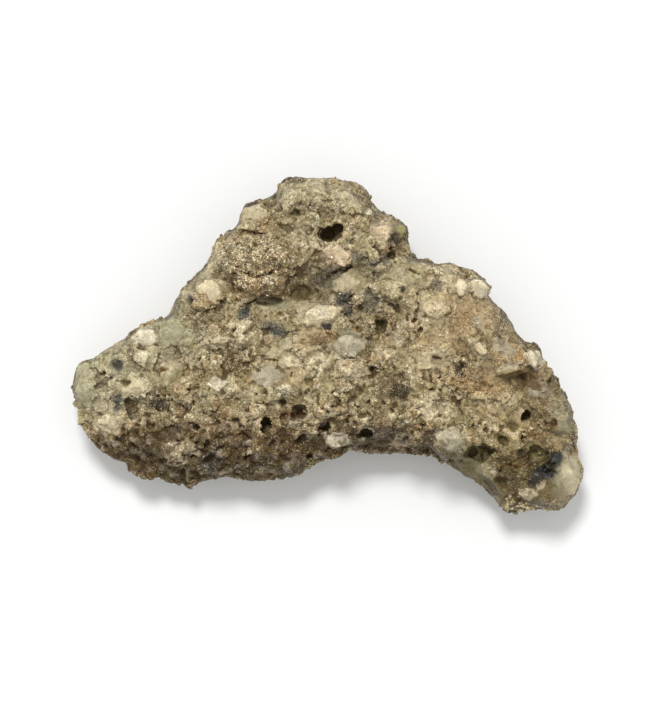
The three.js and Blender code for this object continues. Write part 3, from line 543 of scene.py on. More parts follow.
# [colour, strength, x, y, length, width, turn], from the widest washes to the smallest spots.
# A strength above 1 keeps a spot solid, where a weaker one breaks up over the grains.
MARKS = [
    # The first pale wash lightens the whole top: painted light. The umber washes on the next line
    # darken the lower wall: partly dirt, partly painted shade.
    (PALE, 0.2, 1.5, 3.4, 27, 15, -6), (PALE, 0.2, -16.4, -2.6, 7, 7, 0),
    (UMBER, 0.28, -8, -8.6, 24, 5.4, 0), (UMBER, 0.26, 6, -8.4, 16, 4.4, -12),
    (PALE, 0.45, -12, -0.9, 3.4, 1.8, 0), (PALE, 0.4, -8, 0.1, 2.6, 1.6, 0),
    (PALE, 0.4, -16.6, -2.7, 2.4, 1.6, 0), (PALE, 0.4, -14.4, -3.8, 2.4, 1.3, 0),
    (PALE, 0.45, 3.6, 3.6, 1.9, 1.6, 0), (PALE, 0.35, 7.5, 1.9, 2.8, 1.6, 20),
    (PALE, 0.35, 8.2, -0.8, 2.2, 1.3, 0), (PALE, 0.35, 7, -4.6, 2.6, 1.4, 0),
    (PALE, 0.4, 2.3, -2.6, 1.8, 1.3, 0), (PALE, 0.4, 12.6, -4.2, 3.2, 1.7, -20),
    (PALE, 0.4, 17.8, -4.9, 2.6, 1.8, -30), (PALE, 0.35, -5.6, 7.4, 3.2, 1.8, 0),
    (PALE, 0.4, -9.6, 6.6, 2.4, 3.6, -35), (PALE, 0.35, -19, -2.6, 2, 2.6, 0),
    (PALE, 0.35, 4.6, 9, 2, 2.4, 0), (PALE, 0.4, -2.2, 8.6, 2.4, 1.6, 0),
    (PALE, 0.4, 9.2, 5.6, 4, 1.4, -20), (PALE, 0.35, -5.4, -5, 3, 1.2, 0),
    (PALE, 0.35, -1.6, -1.2, 5, 2.4, 10), (PALE, 0.3, 10.6, 2.6, 3.4, 5, 30),
    (UMBER, 0.45, -9.4, 1.2, 1.7, 1.3, 0), (UMBER, 0.4, -9.2, -2.3, 2.4, 1, 0),
    (UMBER, 0.55, -7.4, -7.4, 4.4, 2.2, 0), (UMBER, 0.4, 1.4, -6.5, 2.2, 1.2, 0),
    (UMBER, 0.4, 10.7, -2, 1.8, 1.6, 0), (UMBER, 0.4, 5.6, 0.9, 1.8, 1.3, 0),
    (UMBER, 0.4, -0.2, 3.4, 1.5, 0.8, 0), (UMBER, 0.45, -14.8, -7, 3.4, 1.4, -10),
    (UMBER, 0.35, 8.6, -8.1, 3.6, 1.2, -8), (UMBER, 0.45, 14.6, -11.4, 3.4, 2, -30),
    (UMBER, 0.35, 13.8, -9.2, 2.6, 2, 0), (UMBER, 0.35, -6.8, -1.9, 1.6, 1, 0),
    (GREEN, 0.5, -16.5, -2, 7, 8, 0), (GREEN, 0.4, -12, 1.5, 5, 5, 0),
    (OCHRE, 0.4, 14.5, -4, 8, 9, 0), (CREAM, 0.3, -17.5, -5.6, 3, 2.6, 0),
    (OCHRE, 0.4, 9.5, 1.5, 6, 9, -40), (GREEN, 0.3, 4.5, 5.5, 5.5, 3, -15),
    (OCHRE, 0.45, -5.5, 5.6, 6, 5.5, 0), (GREEN, 0.45, -11, 4.4, 1.8, 5, -35),
    (OLIVE, 0.4, -4.3, 11.5, 1.2, 2.6, -35), (GREEN, 0.35, -0.5, 11, 9, 3, -5),
    # The wide rust and umber washes along the lower edge in the next three lines darken the lower
    # wall: partly dirt, partly painted shade.
    (GREY, 0.4, 11.8, -10.3, 6, 3, -35), (RUST, 0.3, -8, -6.8, 16, 3.4, 0),
    (UMBER, 0.75, -11, -9.4, 16, 4.2, -4), (UMBER, 0.42, -3.5, -9.2, 8, 3.2, 12),
    (UMBER, 0.45, 5, -7.8, 9, 2.2, -5), (UMBER, 0.65, 11.5, -10.2, 7, 3.4, -38),
    (OLIVE, 0.6, 15.6, -10, 6.4, 5, -30), (UMBER, 0.4, 15.6, -10.2, 6, 4.6, -30),
    (UMBER, 0.5, 17.6, -4.4, 3.8, 8.4, 25), (UMBER, 0.2, 13, 1.5, 8, 6, -30),
    (AMBER, 0.12, 13, 1.2, 8, 6, -30), (UMBER, 0.25, 17.6, -10.8, 4.4, 4, 0),
    (UMBER, 0.25, 13.8, 2.8, 1.6, 5, 28), (UMBER, 0.45, 1, -7.6, 12, 2.6, 8),
    (UMBER, 0.4, -15.6, -4.7, 1.8, 1.6, 0), (UMBER, 0.5, -17.2, -8.2, 5, 1.8, -35),
    (UMBER, 0.3, 5, -3.2, 2.4, 2, 0), (RUST, 0.4, -3, -5.2, 3, 1.6, 0),
    (UMBER, 0.45, -13.5, -6.8, 6, 2, 5), (UMBER, 0.35, -1.5, 5, 5, 3.4, 10),
    (UMBER, 0.3, 3.6, 2.4, 2.6, 3.4, 0), (PALE, 0.4, -5.6, 6.9, 5, 3, 8),
    (UMBER, 0.5, 16.6, -9, 3.4, 2.6, 20), (UMBER, 0.45, 15.6, -2.9, 3, 1.8, -20),
    (PALE, 0.3, 0.4, 11.6, 5, 2, -5), (UMBER, 0.35, 5.6, 8.4, 2.2, 3, 20),
    (UMBER, 0.35, 4.6, -3.4, 3.4, 2, 0), (UMBER, 0.4, 3.4, -6.8, 4.4, 2, 0),
    (AMBER, 0.25, 10.3, 2.3, 2, 2.6, 0), (AMBER, 0.4, 14.8, -0.7, 2.4, 1.1, -30),
    (AMBER, 0.35, 11.5, -3.2, 4.2, 1.2, -10), (AMBER, 0.4, 7.4, -6.3, 2.2, 1.2, 0),
    (AMBER, 0.35, -7.8, 9.4, 1.4, 2.2, 20), (AMBER, 0.35, -3, -2.2, 3, 0.9, 15),
    (AMBER, 0.35, 15, 1.6, 1.4, 3, 35), (CREAM, 0.5, 8.5, -0.8, 2.2, 1.8, 0),
    (GREY, 0.5, 16.4, -3.3, 2.1, 1.5, -20), (CREAM, 0.45, 8.5, -4.9, 2.9, 2.1, -10),
    (CREAM, 0.5, 12.4, -9.7, 1.7, 1, -30), (GREEN, 0.45, 18.3, -5.8, 2.2, 3, 10),
    (CREAM, 0.5, -15, -3.2, 2.5, 1.5, 10), (CREAM, 0.5, -17.2, -6, 2.5, 1.7, -15),
    (CREAM, 0.5, -6, -3.9, 2, 1.2, 10), (CREAM, 0.45, 2.4, -1.9, 1.8, 1.3, -10),
    (SLATE, 0.8, 3.1, 12.2, 0.9, 0.5, -45), (UMBER, 0.22, 0.5, 5.6, 7, 3.6, -10),
    (GREEN, 0.7, -19.1, -3.1, 2.2, 3.8, 0), (GREEN, 0.7, -12, 0.9, 3, 2.4, 0),
    (GREEN, 0.5, 18.7, -10.3, 2.4, 3.4, -10), (GREY, 0.85, 1.6, 0.1, 2.7, 2.1, 20),
    (CREAM, 0.65, -0.8, 2.4, 3.6, 2.1, -8), (WHITE, 0.7, -0.6, 2.6, 1.7, 0.8, -18),
    (OCHRE, 0.5, -1.4, 0.6, 2.1, 1.9, 0), (AMBER, 0.5, 0.2, 0.8, 0.9, 1.4, 30),
    (PINK, 0.85, 0.7, 7, 2.5, 1.7, -12), (CREAM, 0.42, 1.2, 4.9, 2, 1.7, 0),
    (PINK, 0.7, 4.1, 9.1, 1.9, 1.5, -15), (WHITE, 0.7, 3.4, 10.4, 0.8, 0.6, 0),
    (MOSS, 0.8, 5.9, 9.1, 1.9, 1.6, 30), (WHITE, 0.55, 11.9, 4.7, 1.8, 1.9, 0),
    (WHITE, 0.5, 10.4, 4.5, 1, 1.2, 0), (WHITE, 0.65, 16.2, -0.8, 1.6, 1.9, 20),
    (CREAM, 0.55, 11.7, -0.3, 2.2, 1, -50), (GREY, 0.7, 13.6, -0.1, 2.1, 1, -35),
    (GREY, 0.5, 14, -1.6, 2.3, 0.7, 15), (OLIVE, 0.5, 13.7, -2.4, 2, 0.7, 15),
    (CREAM, 0.45, 8, 2.6, 2.4, 1.9, -20), (GREY, 0.5, 11.6, 1.8, 0.9, 1, 0),
    (WHITE, 0.75, -14.3, 0.9, 2.2, 1.8, -20), (CREAM, 0.7, -17.3, -6.3, 1.6, 1.1, 10),
    (CREAM, 0.75, -9, 4.5, 2, 1.6, 15), (CREAM, 0.65, -6, 10.5, 1.9, 1.6, -5),
    # The umber marks in the next three lines lie in the creases of the knob and under its ledge:
    # painted shade there.
    (CHALK, 0.9, -4.4, 5.1, 1.2, 0.85, 0), (UMBER, 1, -5.9, 5.5, 1.8, 0.35, -12),
    (UMBER, 1, -4.6, 5.65, 1.4, 0.32, 14), (UMBER, 1, -7.1, 5.5, 0.8, 0.3, 0),
    (UMBER, 0.85, -4.2, 3.65, 1.6, 0.42, -8), (UMBER, 0.7, -5.3, 3.8, 1.2, 0.4, 20),
    (RUST, 0.8, -5.9, 8.75, 2.2, 0.5, -8), (RUST, 0.6, -7, 4.7, 1.8, 1.6, 0),
    (WHITE, 0.6, -5, 7.7, 0.5, 0.5, 0), (WHITE, 0.6, -8.6, -2.9, 1.4, 1, 0),
    (GREY, 0.75, -4.6, -2.3, 2.2, 1.6, 10), (CREAM, 0.6, -3.3, -1.3, 1.1, 0.9, 0),
    (WHITE, 0.6, -3.4, -3.5, 1.4, 1, 0), (WHITE, 0.6, 0.8, -7.3, 2.3, 1.2, -10),
    (PINK, 0.6, 5.6, -7.6, 1.5, 0.9, 0), (GREEN, 0.7, 9.5, -7.1, 2.6, 2, -10),
    (WHITE, 0.5, 9.3, -7.2, 1.9, 1.4, -10), (CREAM, 0.5, -11.3, -8.3, 2.9, 2.3, 0),
    (CREAM, 0.7, 15.5, -11.5, 1.5, 0.9, 0), (GREEN, 0.6, -3.9, 3.1, 2.6, 0.9, 0),
    (WHITE, 0.6, -2.6, -6, 1.2, 0.8, 0), (OLIVE, 0.7, -2.1, 4.1, 2.8, 1.4, -8),
    (RUST, 0.6, 4.9, 7.5, 0.9, 1.4, 0), (SLATE, 0.5, 2.3, 6.8, 1.2, 0.9, 0),
    # The dark olive, moss, rust and umber marks in the next seven lines sit in hollows: partly
    # their own colour, partly painted shade.
    (OLIVE, 0.8, 0.25, 8.75, 1.8, 1.4, 22), (OLIVE, 0.7, -15.7, -2.8, 1, 1, 0),
    (OLIVE, 0.7, -15.4, -4.4, 1.1, 0.9, 0), (OLIVE, 0.7, 14.4, -6.2, 1, 0.9, -20),
    (OLIVE, 0.7, 13.5, -7.2, 1.1, 0.9, -30), (MOSS, 0.8, 16.3, -8.3, 1.2, 1.9, 30),
    (MOSS, 0.7, 11.5, -8.4, 2.3, 1.9, 0), (MOSS, 0.5, 11.3, -9.5, 3, 1.4, -22),
    (RUST, 0.85, 17.5, -6, 0.7, 0.9, 0), (UMBER, 0.9, 15.4, -5.4, 0.7, 0.9, -30),
    (RUST, 0.7, 14.5, -9.3, 1.2, 0.4, -10), (RUST, 0.5, 16.4, -7.2, 1.6, 0.7, -30),
    (OLIVE, 0.8, 4.1, 1.7, 1.1, 1.1, 0), (RUST, 0.5, 3.2, 0.7, 0.9, 0.7, 0),
    (RUST, 0.7, -3, -5.3, 1.6, 0.8, 10), (OLIVE, 0.7, 2.7, -5.3, 0.9, 0.8, 0),
    (RUST, 0.65, 15.7, -2.7, 2.2, 1.2, -22), (RUST, 0.7, 15.1, -8.3, 0.9, 0.8, 0),
    (RUST, 0.6, -0.7, 0.4, 1.6, 0.7, 20), (RUST, 0.5, -4.6, 4.3, 3.6, 1, 0),
    (RUST, 0.5, -4.6, 0.4, 1.6, 0.6, 10), (RUST, 0.5, 8.4, -1.1, 1.2, 0.8, 0),
    (RUST, 0.5, -1.4, -0.7, 1.3, 0.5, 20), (OCHRE, 0.6, 3.4, -1, 1.4, 0.8, 0),
    (SLATE, 0.85, -16.3, -1.5, 0.9, 1, 20), (SLATE, 0.85, -16.3, -4.4, 0.7, 1.6, -10),
    (SLATE, 0.85, -6.4, 2.6, 1.1, 1.1, 0), (SLATE, 0.8, -4, 1.3, 2, 0.9, -25),
    (SLATE, 0.75, -10.6, 3.6, 0.5, 0.8, 20), (SLATE, 0.85, 1.3, 3.6, 1.3, 1, 0),
    (SLATE, 0.8, 1.6, 2.6, 0.7, 1, 0), (BLACK, 1.3, 0, 1.5, 0.9, 0.5, -15),
    (BLACK, 0.85, 5.8, 4.35, 0.6, 0.5, 0), (SLATE, 0.5, 8.4, 4.6, 1, 0.9, 0),
    (BLACK, 0.6, 5.7, -3.5, 1.4, 1.1, 0), (BLACK, 0.75, 5.3, 8.4, 0.6, 1.2, 10),
    (SLATE, 0.8, -9.1, -8.9, 1.5, 1.6, 20), (BLACK, 0.8, -10.2, -6.3, 0.6, 0.5, 0),
    (BLACK, 0.75, -9.6, -5.2, 0.5, 0.4, 0), (BLACK, 0.8, -2, -7.2, 1, 0.7, 25),
    (BLACK, 0.85, -0.2, -6.3, 0.8, 0.6, 0), (BLACK, 0.75, -13.1, -4.4, 1.2, 1.4, 0),
    (BLACK, 1.4, 16.05, -10.5, 1, 0.8, 55), (BLACK, 1.5, 16.45, -9.95, 1.2, 1, 40),
    (SLATE, 1.5, 17.05, -9.7, 1.3, 1, 5), (BLACK, 1.5, 17.6, -9.3, 1.1, 0.9, 50),
    (SLATE, 1.4, 17.9, -8.7, 0.9, 0.9, 80), (CREAM, 0.6, 16.6, -10.9, 0.9, 0.4, 35),
    (PALE, 0.45, 18.9, -9.9, 1.6, 3, 10), (BLACK, 0.7, 16.8, -0.2, 0.5, 0.9, 20),
    (BLACK, 0.75, 10.3, -1.4, 0.8, 0.6, 0), (BLACK, 0.6, 3, -6.8, 1.2, 1, 0),
    (SLATE, 0.55, 10.2, -2, 0.7, 0.9, 0), (SLATE, 0.45, 3.4, 3.4, 1.4, 1.4, 0),
    (BLACK, 0.75, 15.1, -8.2, 0.9, 0.8, 0), (SLATE, 0.4, -0.2, 5.2, 2.2, 1.6, 30),
    (SLATE, 0.45, 3.9, 6.5, 1.6, 0.7, 20), (OLIVE, 0.6, -2.6, 10.4, 1.1, 0.7, 15),
]
# Sand and dirt in blots over the lower wall: [colour, strength, size, shift].
WALL_BLOTS = [(ROSY, 0.55, 0.8, 507.0), (UMBER, 0.7, 0.95, 501.0)]


def marked_with(under, new, cover):
    """Stains and painted light and shade, as colour and strength, with a new layer laid over them.
    """
    keep = under[:, 3] * (1 - cover)
    total = np.maximum(keep + cover, 1e-6)[:, None]
    mixed = (under[:, :3] * keep[:, None] + np.array(new) * cover[:, None]) / total
    return np.c_[mixed, keep + cover]


stains_and_painted_light = np.zeros((len(points), 4))
for colour, strength, *place in MARKS:
    if colour in CLAST_COLOURS:
        cover = strength * (1 - rise(*CLAST_EDGE, clast(*place)))
    else:
        edge = MINERAL_EDGE if colour in (SLATE, BLACK) else WASH_EDGE
        cover = strength * (1 - rise(*edge, patch(*place)))
    stains_and_painted_light = marked_with(stains_and_painted_light, colour, np.minimum(cover, 1))
    stains_and_painted_light[:, 3] += np.maximum(cover - 1, 0)
for colour, strength, size, shift in WALL_BLOTS:
    blot = rise(0.08, 0.36, unevenness(points, size, shift) + 0.4 * ripple)
    stains_and_painted_light = marked_with(stains_and_painted_light, colour, strength * lower_wall * upward * blot)
# Painted shade, partly dirt: darker where faces turn sideways and over the outer wall.
cover = 0.5 * (1 - rise(0.1, 0.6, normals[:, 2])) + outer_wall * (0.28 + 0.2 * swell)
stains_and_painted_light = marked_with(stains_and_painted_light, RIM_SHADE_AND_DIRT, np.minimum(cover, 0.8) * upward)
stains_and_painted_light = marked_with(stains_and_painted_light, GREEN, 0.8 * glass_below)
stains_and_painted_light = marked_with(stains_and_painted_light, PIN_RUST, np.clip(pin_depth / 0.15, 0, 1))
crumble = 0.4 * rise(0.05, 0.4, unevenness(points, 1.7, 205.0)) * (1 - calm)
crumble = np.maximum(np.maximum(knob, loose), crumble) * (1 - flatness) * upward
kept(body.data, "ground", np.c_[ground, np.ones(len(points))])
kept(body.data, "stains_and_painted_light", stains_and_painted_light)
kept(body.data, "crumble", crumble)
kept(body.data, "smoothness", np.maximum(np.maximum(flatness, glass_below), calm))
body.data.vertices.foreach_set("co", (points * MM).astype(np.float32).ravel())
body.data.update()
body.data.shade_smooth()

# The look of fused sand, for the body and for the loose-looking grains on it.
sand = bpy.data.node_groups.new("fused_sand_colour", "ShaderNodeTree")
for name, way, kind in (
    ("Speckle", "INPUT", "NodeSocketFloat"), ("Color", "OUTPUT", "NodeSocketColor"),
    ("Roughness", "OUTPUT", "NodeSocketFloat"), ("Height", "OUTPUT", "NodeSocketFloat"),
):
    sand.interface.new_socket(name, in_out=way, socket_type=kind)
given = put(sand, "NodeGroupInput")


def moved(operation, inputs):
    """Places in the sand, scaled or shifted."""
    return put(sand, "ShaderNodeVectorMath", inputs, operation=operation).outputs[0]


spot = put(sand, "ShaderNodeTexCoord").outputs["Object"]
spot = moved("SCALE", {0: spot, "Scale": 1 / MM})


def cloud(per_mm, detail, rough, shift):
    """Noise over the sand, given by how many blotches lie in a millimetre."""
    at = moved("ADD", {0: spot, 1: (shift, shift, -shift)})
    inputs = {"Vector": at, "Scale": per_mm, "Detail": detail, "Roughness": rough}
    return put(sand, "ShaderNodeTexNoise", inputs).outputs["Fac"]


def scattered(at, per_mm, **settings):
    """A scattered pattern of cells, given by how many lie in a millimetre."""
    return put(sand, "ShaderNodeTexVoronoi", {"Vector": at, "Scale": per_mm}, **settings)


def channels(colour):
    """The red, green and blue of a colour, as values."""
    return put(sand, "ShaderNodeSeparateColor", {0: colour}).outputs


def reckon(operation, *values):
    """A sum on two or three values."""
    return put(sand, "ShaderNodeMath", dict(enumerate(values)), operation=operation).outputs[0]


def times(a, b):
    """One value times another."""
    return reckon("MULTIPLY", a, b)


def times_plus(a, b, c):
    """a times b, plus c."""
    return reckon("MULTIPLY_ADD", a, b, c)


def between(value, low, high, out_low=0.0, out_high=1.0):
    """A value rising smoothly from out_low at low to out_high at high."""
    inputs = {
        "Value": value, "From Min": low, "From Max": high, "To Min": out_low, "To Max": out_high}
    return put(sand, "ShaderNodeMapRange", inputs, interpolation_type="SMOOTHSTEP").outputs[0]


def blended(share, first, second, way="MIX"):
    """Two colours mixed by a share."""
    made = put(sand, "ShaderNodeMix", {0: share}, data_type="RGBA", blend_type=way)
    for key, value in ((6, first), (7, second)):
        if isinstance(value, bpy.types.NodeSocket):
            sand.links.new(value, made.inputs[key])
        else:
            made.inputs[key].default_value = (*value, 1)
    return made.outputs[2]


def ramp(value, stops):
    """A colour chosen along a row of stops by a value."""
    made = put(sand, "ShaderNodeValToRGB", {0: value})
    scale = made.color_ramp
    while len(scale.elements) < len(stops):
        scale.elements.new(0.5)
    for element, (place, colour) in zip(scale.elements, stops):
        element.position = place
        element.color = (*colour, 1)
    return made.outputs[0]


def at_point(key):
    """What is kept at the points under a name."""
    return put(sand, "ShaderNodeAttribute", attribute_name=key).outputs


# Washes over the matrix, the last one over the others:
# [blotches in a millimetre, detail, roughness, shift, from, to, strength, colour].
WASHES = [
    (0.75, 2, 0.6, 31.0, 0.5, 0.64, 0.45, (0.32, 0.2, 0.1)),
    (0.5, 2, 0.6, 43.0, 0.5, 0.64, 0.5, (0.20, 0.185, 0.085)),
    (1.7, 5, 0.7, 83.0, 0.54, 0.66, 0.65, (0.12, 0.075, 0.03)),
    (1.3, 5, 0.7, 101.0, 0.54, 0.66, 0.6, (0.55, 0.48, 0.325)),
]
colour = at_point("ground")["Color"]
for per_mm, detail, rough, shift, low, high, strength, tint in WASHES:
    share = between(cloud(per_mm, detail, rough, shift), low, high, 0, strength)
    colour = blended(share, colour, tint)

# Specks of single grains, and finer crumbs, both weak where the crust is smooth.
SPECKS_PER_MM = 4.6
CRUMBS_PER_MM = 7.0
smooth = at_point("smoothness")["Fac"]
crumbled = at_point("crumble")["Fac"]
crumbly = times_plus(smooth, -0.85, 1.0)
fine = cloud(3.4, 4, 0.7, 17.0)
specks = scattered(spot, SPECKS_PER_MM)
chance = channels(specks.outputs["Color"])[0]
colour = blended(times(given.outputs["Speckle"], crumbly), colour, ramp(chance, GRAIN_COLOURS))
crumbs = scattered(spot, CRUMBS_PER_MM)
crumb_far = crumbs.outputs["Distance"]
pick = channels(crumbs.outputs["Color"])[1]
share = times(between(pick, 0.16, 0.09, 0, 0.8), times(between(crumb_far, 0.55, 0.2), crumbly))
colour = blended(share, colour, (0.24, 0.18, 0.12), "MULTIPLY")
# Painted shade between loose crumbs, used in the tints below.
gaps = times(between(crumb_far, 0.38, 0.68), crumbled)

# Froth pits, darker inside, partly their brown and partly painted shade, with painted light on
# their lips, and fine cracks with painted shade, both bent so that no line runs straight.
FROTH_PER_MM = 1.8
CRACKS_PER_MM = 0.95
BEND_PER_MM = 1.9
BEND_MM = 0.9
bend = put(sand, "ShaderNodeTexNoise", {"Vector": spot, "Scale": BEND_PER_MM, "Detail": 3})
bend = moved("SUBTRACT", {0: bend.outputs["Color"], 1: (0.5, 0.5, 0.5)})
bent = moved("ADD", {0: spot, 1: moved("SCALE", {0: bend, "Scale": BEND_MM})})
froth = scattered(bent, FROTH_PER_MM)
lots = channels(froth.outputs["Color"])
ratio = reckon("DIVIDE", froth.outputs["Distance"], times_plus(lots[1], 0.26, 0.1))
frothy = times(between(lots[0], 0.4, 0.46), times_plus(crumbled, 0.75, times(crumbly, 0.3)))
pit = times(between(ratio, 1.0, 0.6), frothy)
lip = times(times(between(ratio, 2.0, 1.25), between(ratio, 0.8, 1.15)), frothy)
cracks = scattered(bent, CRACKS_PER_MM, feature="DISTANCE_TO_EDGE")
crack = between(cracks.outputs["Distance"], 0.06, 0.015)
crack = times(times(crack, between(cloud(0.8, 2, 0.6, 131.0), 0.5, 0.58)), crumbly)

# The placed stains, with the painted light and shade among them. Their edges and weak parts break
# up over the grains; solid ones don't.
MOST_COVER = 0.97
mark = at_point("stains_and_painted_light")
ragged = times_plus(cloud(6.5, 3, 0.7, 53.0), 0.5, times(fine, 0.5))
grain_light = times_plus(cloud(8.5, 3, 0.75, 71.0), 0.75, times(fine, 0.25))
solid = between(mark["Alpha"], 1.0, 1.3, 1.0, 0.3)
cover = reckon("ADD", times(reckon("SUBTRACT", ragged, 0.5), times(solid, 1.7)), mark["Alpha"])
pepper = times(reckon("SUBTRACT", 0.5, grain_light), solid)
redness = channels(mark["Color"])[0]
cover = times_plus(pepper, between(redness, 0.03, 0.12, 3.6, 1.4), cover)
cover = times(between(cover, 0.1, 0.85), MOST_COVER)
colour = blended(cover, colour, mark["Color"])

# What darkens or pales the sand, in turn: [where, strength, colour multiplied in].
contrast = times_plus(crumbled, 0.55, times_plus(smooth, -0.5, 0.7))
TINTS = [
    (between(grain_light, 0.5, 0.38, 0, 0.9), contrast, (0.28, 0.195, 0.088)),  # dark grains
    (between(grain_light, 0.5, 0.62, 0, 0.9), contrast, (1.78, 1.86, 2.1)),  # pale grains
    (gaps, 0.7, (0.3, 0.2, 0.1)),  # painted shade between loose crumbs
    # painted shade in the froth pits, partly their brown; painted light on their lips; painted
    # shade in the fine cracks
    (pit, 0.9, (0.2, 0.13, 0.065)),
    (lip, 0.7, (1.35, 1.38, 1.45)),
    (crack, 0.5, (0.3, 0.22, 0.13)),
]
for where, strength, tint in TINTS:
    colour = blended(times(where, strength), colour, tint, "MULTIPLY")

# Painted glints on crumbs, then painted shade, partly dirt, in the crevices and painted light on
# the crests over everything.
GLINT = (0.62, 0.57, 0.44)
CREVICE_SHADE_AND_DIRT = (0.066, 0.037, 0.011)
# Painted highlights: pale dots on some crumbs.
glint = times(between(pick, 0.87, 0.95, 0, 0.5), between(crumb_far, 0.45, 0.15))
glint = times(glint, between(contrast, 0.5, 1.2, 0.35, 1.1))
colour = blended(times(glint, times_plus(cover, -0.8, 1.0)), colour, GLINT)
sunk = times_plus(at_point("crevice_fine")["Fac"], 0.3, at_point("crevice_wide")["Fac"])
# Painted shade in the crevices, partly dirt: the deeper a point lies below its surroundings, the
# darker it is.
crevice_shade_and_dirt = times(between(sunk, 0.08, 0.92, 0, 0.84), times_plus(cover, -0.5, 1.0))
colour = blended(crevice_shade_and_dirt, colour, CREVICE_SHADE_AND_DIRT)
# Painted light: crests paler than their surroundings.
crest_light = between(sunk, 0.0, -0.9, 1.02, 1.38)
crest_light = put(sand, "ShaderNodeCombineColor", {0: crest_light, 1: crest_light, 2: crest_light}).outputs[0]
colour = blended(1.0, colour, crest_light, "MULTIPLY")

# Smooth glass shines more than crumbs, and some specks shine most.
gloss = reckon("SUBTRACT", cloud(1.1, 4, 0.65, 7.0), 0.5)
gloss = times_plus(gloss, 0.3, times_plus(smooth, -0.38, 0.78))
gloss = reckon("SUBTRACT", gloss, between(chance, 0.6, 0.75, 0, 0.4))
height = times_plus(specks.outputs["Distance"], -0.6, fine)
height = times_plus(cloud(8.5, 2, 0.6, 71.0), 0.4, height)
height = times(height, times_plus(smooth, -0.75, 1.0))
height = times_plus(crack, -0.8, times_plus(pit, -1.2, height))
put(sand, "NodeGroupOutput", {"Color": colour, "Roughness": gloss, "Height": height})

SPECULAR = 0.2
GLOW_BY_COLOUR = (1.0, 0.9, 0.75)  # shares of the reach, for red, green and blue light
BODY_SPECKLE = 0.26
BODY_GLOW, BODY_GLOW_REACH = 0.25, 0.00025
BUMP_HEIGHT, BUMP_STRENGTH = 0.00008, 0.9


def sand_material(name, speckle, glow, glow_reach):
    """A material of fused sand, with its node group and its shader."""
    made = bpy.data.materials.new(name)
    made.use_nodes = True
    look = put(made.node_tree, "ShaderNodeGroup", node_tree=sand)
    look.inputs["Speckle"].default_value = speckle
    glass = made.node_tree.nodes["Principled BSDF"]
    glass.inputs["Specular IOR Level"].default_value = SPECULAR
    glass.inputs["Subsurface Weight"].default_value = glow
    glass.inputs["Subsurface Radius"].default_value = GLOW_BY_COLOUR
    glass.inputs["Subsurface Scale"].default_value = glow_reach
    made.node_tree.links.new(look.outputs["Color"], glass.inputs["Base Color"])
    return made, look, glass


body_sand, look, glass = sand_material("fused_sand", BODY_SPECKLE, BODY_GLOW, BODY_GLOW_REACH)
tree = body_sand.node_tree
bump = put(tree, "ShaderNodeBump", {
    "Height": look.outputs["Height"], "Distance": BUMP_HEIGHT, "Strength": BUMP_STRENGTH})
tree.links.new(look.outputs["Roughness"], glass.inputs["Roughness"])
tree.links.new(bump.outputs[0], glass.inputs["Normal"])
body.data.materials.append(body_sand)
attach(body, "root")
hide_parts("trinitite")

# ------------------------ sand grains
# Single quartz and feldspar grains of the desert sand, half sunk in the crust. They stuck as
# they fell, and stand closest together on the sandy knob.
GRAIN_PIECES = 2
GRAINS_EACH = 6500
GRAIN_FORMS = 16
GRAIN_SIZE, SIZE_SPREAD = 0.2, 0.35
SMALLEST_GRAIN, LARGEST_GRAIN = 0.12, 0.5
LEAST_STRETCH, MOST_STRETCH = [0.85, 0.7, 0.6], [1.25, 1.05, 0.95]
DEEPEST_SEAT, HIGHEST_SEAT = -0.3, 0.12  # of a grain's middle over the crust, in grain sizes
LOWEST_SEAT = 0.5  # millimetres above the table
TABLE_GAP = 0.02  # millimetres under the lowest grains
GRAIN_SPECKLE = 0.12
GRAIN_GLOW, GRAIN_GLOW_REACH = 0.1, 0.0001
MARGIN = 0.05  # of a grain's cell in the map, on each side

starts = rows(body.data.polygons, "loop_start", 1, np.int32)[:, 0]
first = rows(body.data.loops, "vertex_index", 1, np.int32)[starts, 0]
seat_points = rows(body.data.polygons, "center", 3) / MM
seat_normals = rows(body.data.polygons, "normal", 3)
areas = rows(body.data.polygons, "area", 1)[:, 0]
crevice = rows(body.data.attributes["crevice_wide"].data, "value", 1)[:, 0]
room_for_grains = 0.08 + rise(0.0, 0.4, unevenness(points, 1.3, 55.0)) + 3.0 * knob
room_for_grains = roughness * (1 - 0.9 * calm) * room_for_grains
room_for_grains *= (1 - 0.5 * lower_wall) * (1 - 0.5 * outer_wall) * (
    1 - 0.8 * np.clip(stains_and_painted_light[:, 3] - 1, 0, 1))
room_for_grains *= 1 - 0.85 * np.clip(np.maximum(depth / 0.3, pin_depth / 0.12), 0, 1)
room_for_grains *= 1 - rise(0.3, 0.8, crevice)
weights = areas * room_for_grains[first] * (seat_points[:, 2] > LOWEST_SEAT) * (
    0.03 + 0.97 * rise(0.3, 0.7, seat_normals[:, 2]))
chosen = rng.choice(
    len(weights), GRAIN_PIECES * GRAINS_EACH, replace=False, p=weights / weights.sum())
chosen = chosen[np.argsort(seat_points[chosen, 0])]

grain_forms = []
for _ in range(GRAIN_FORMS):
    pebble = bmesh.new()
    pebble.loops.layers.uv.new("OFBake")
    bmesh.ops.create_icosphere(pebble, subdivisions=1, radius=0.5, calc_uvs=True)
    for vert in pebble.verts:
        vert.co *= rng.uniform(0.78, 1.18)
    grain_mesh = bpy.data.meshes.new("grain_form")
    pebble.to_mesh(grain_mesh)
    pebble.free()
    grain_forms.append(grain_mesh)
form_points = np.array([rows(m.vertices, "co", 3) for m in grain_forms])
form_faces = np.array([list(p.vertices) for p in grain_forms[0].polygons])
form_map = rows(grain_forms[0].uv_layers[0].uv, "vector", 2)
form_map -= form_map.min(0)
form_map /= form_map.max(0)
each = len(form_points[0])
for mesh in grain_forms:
    bpy.data.meshes.remove(mesh)


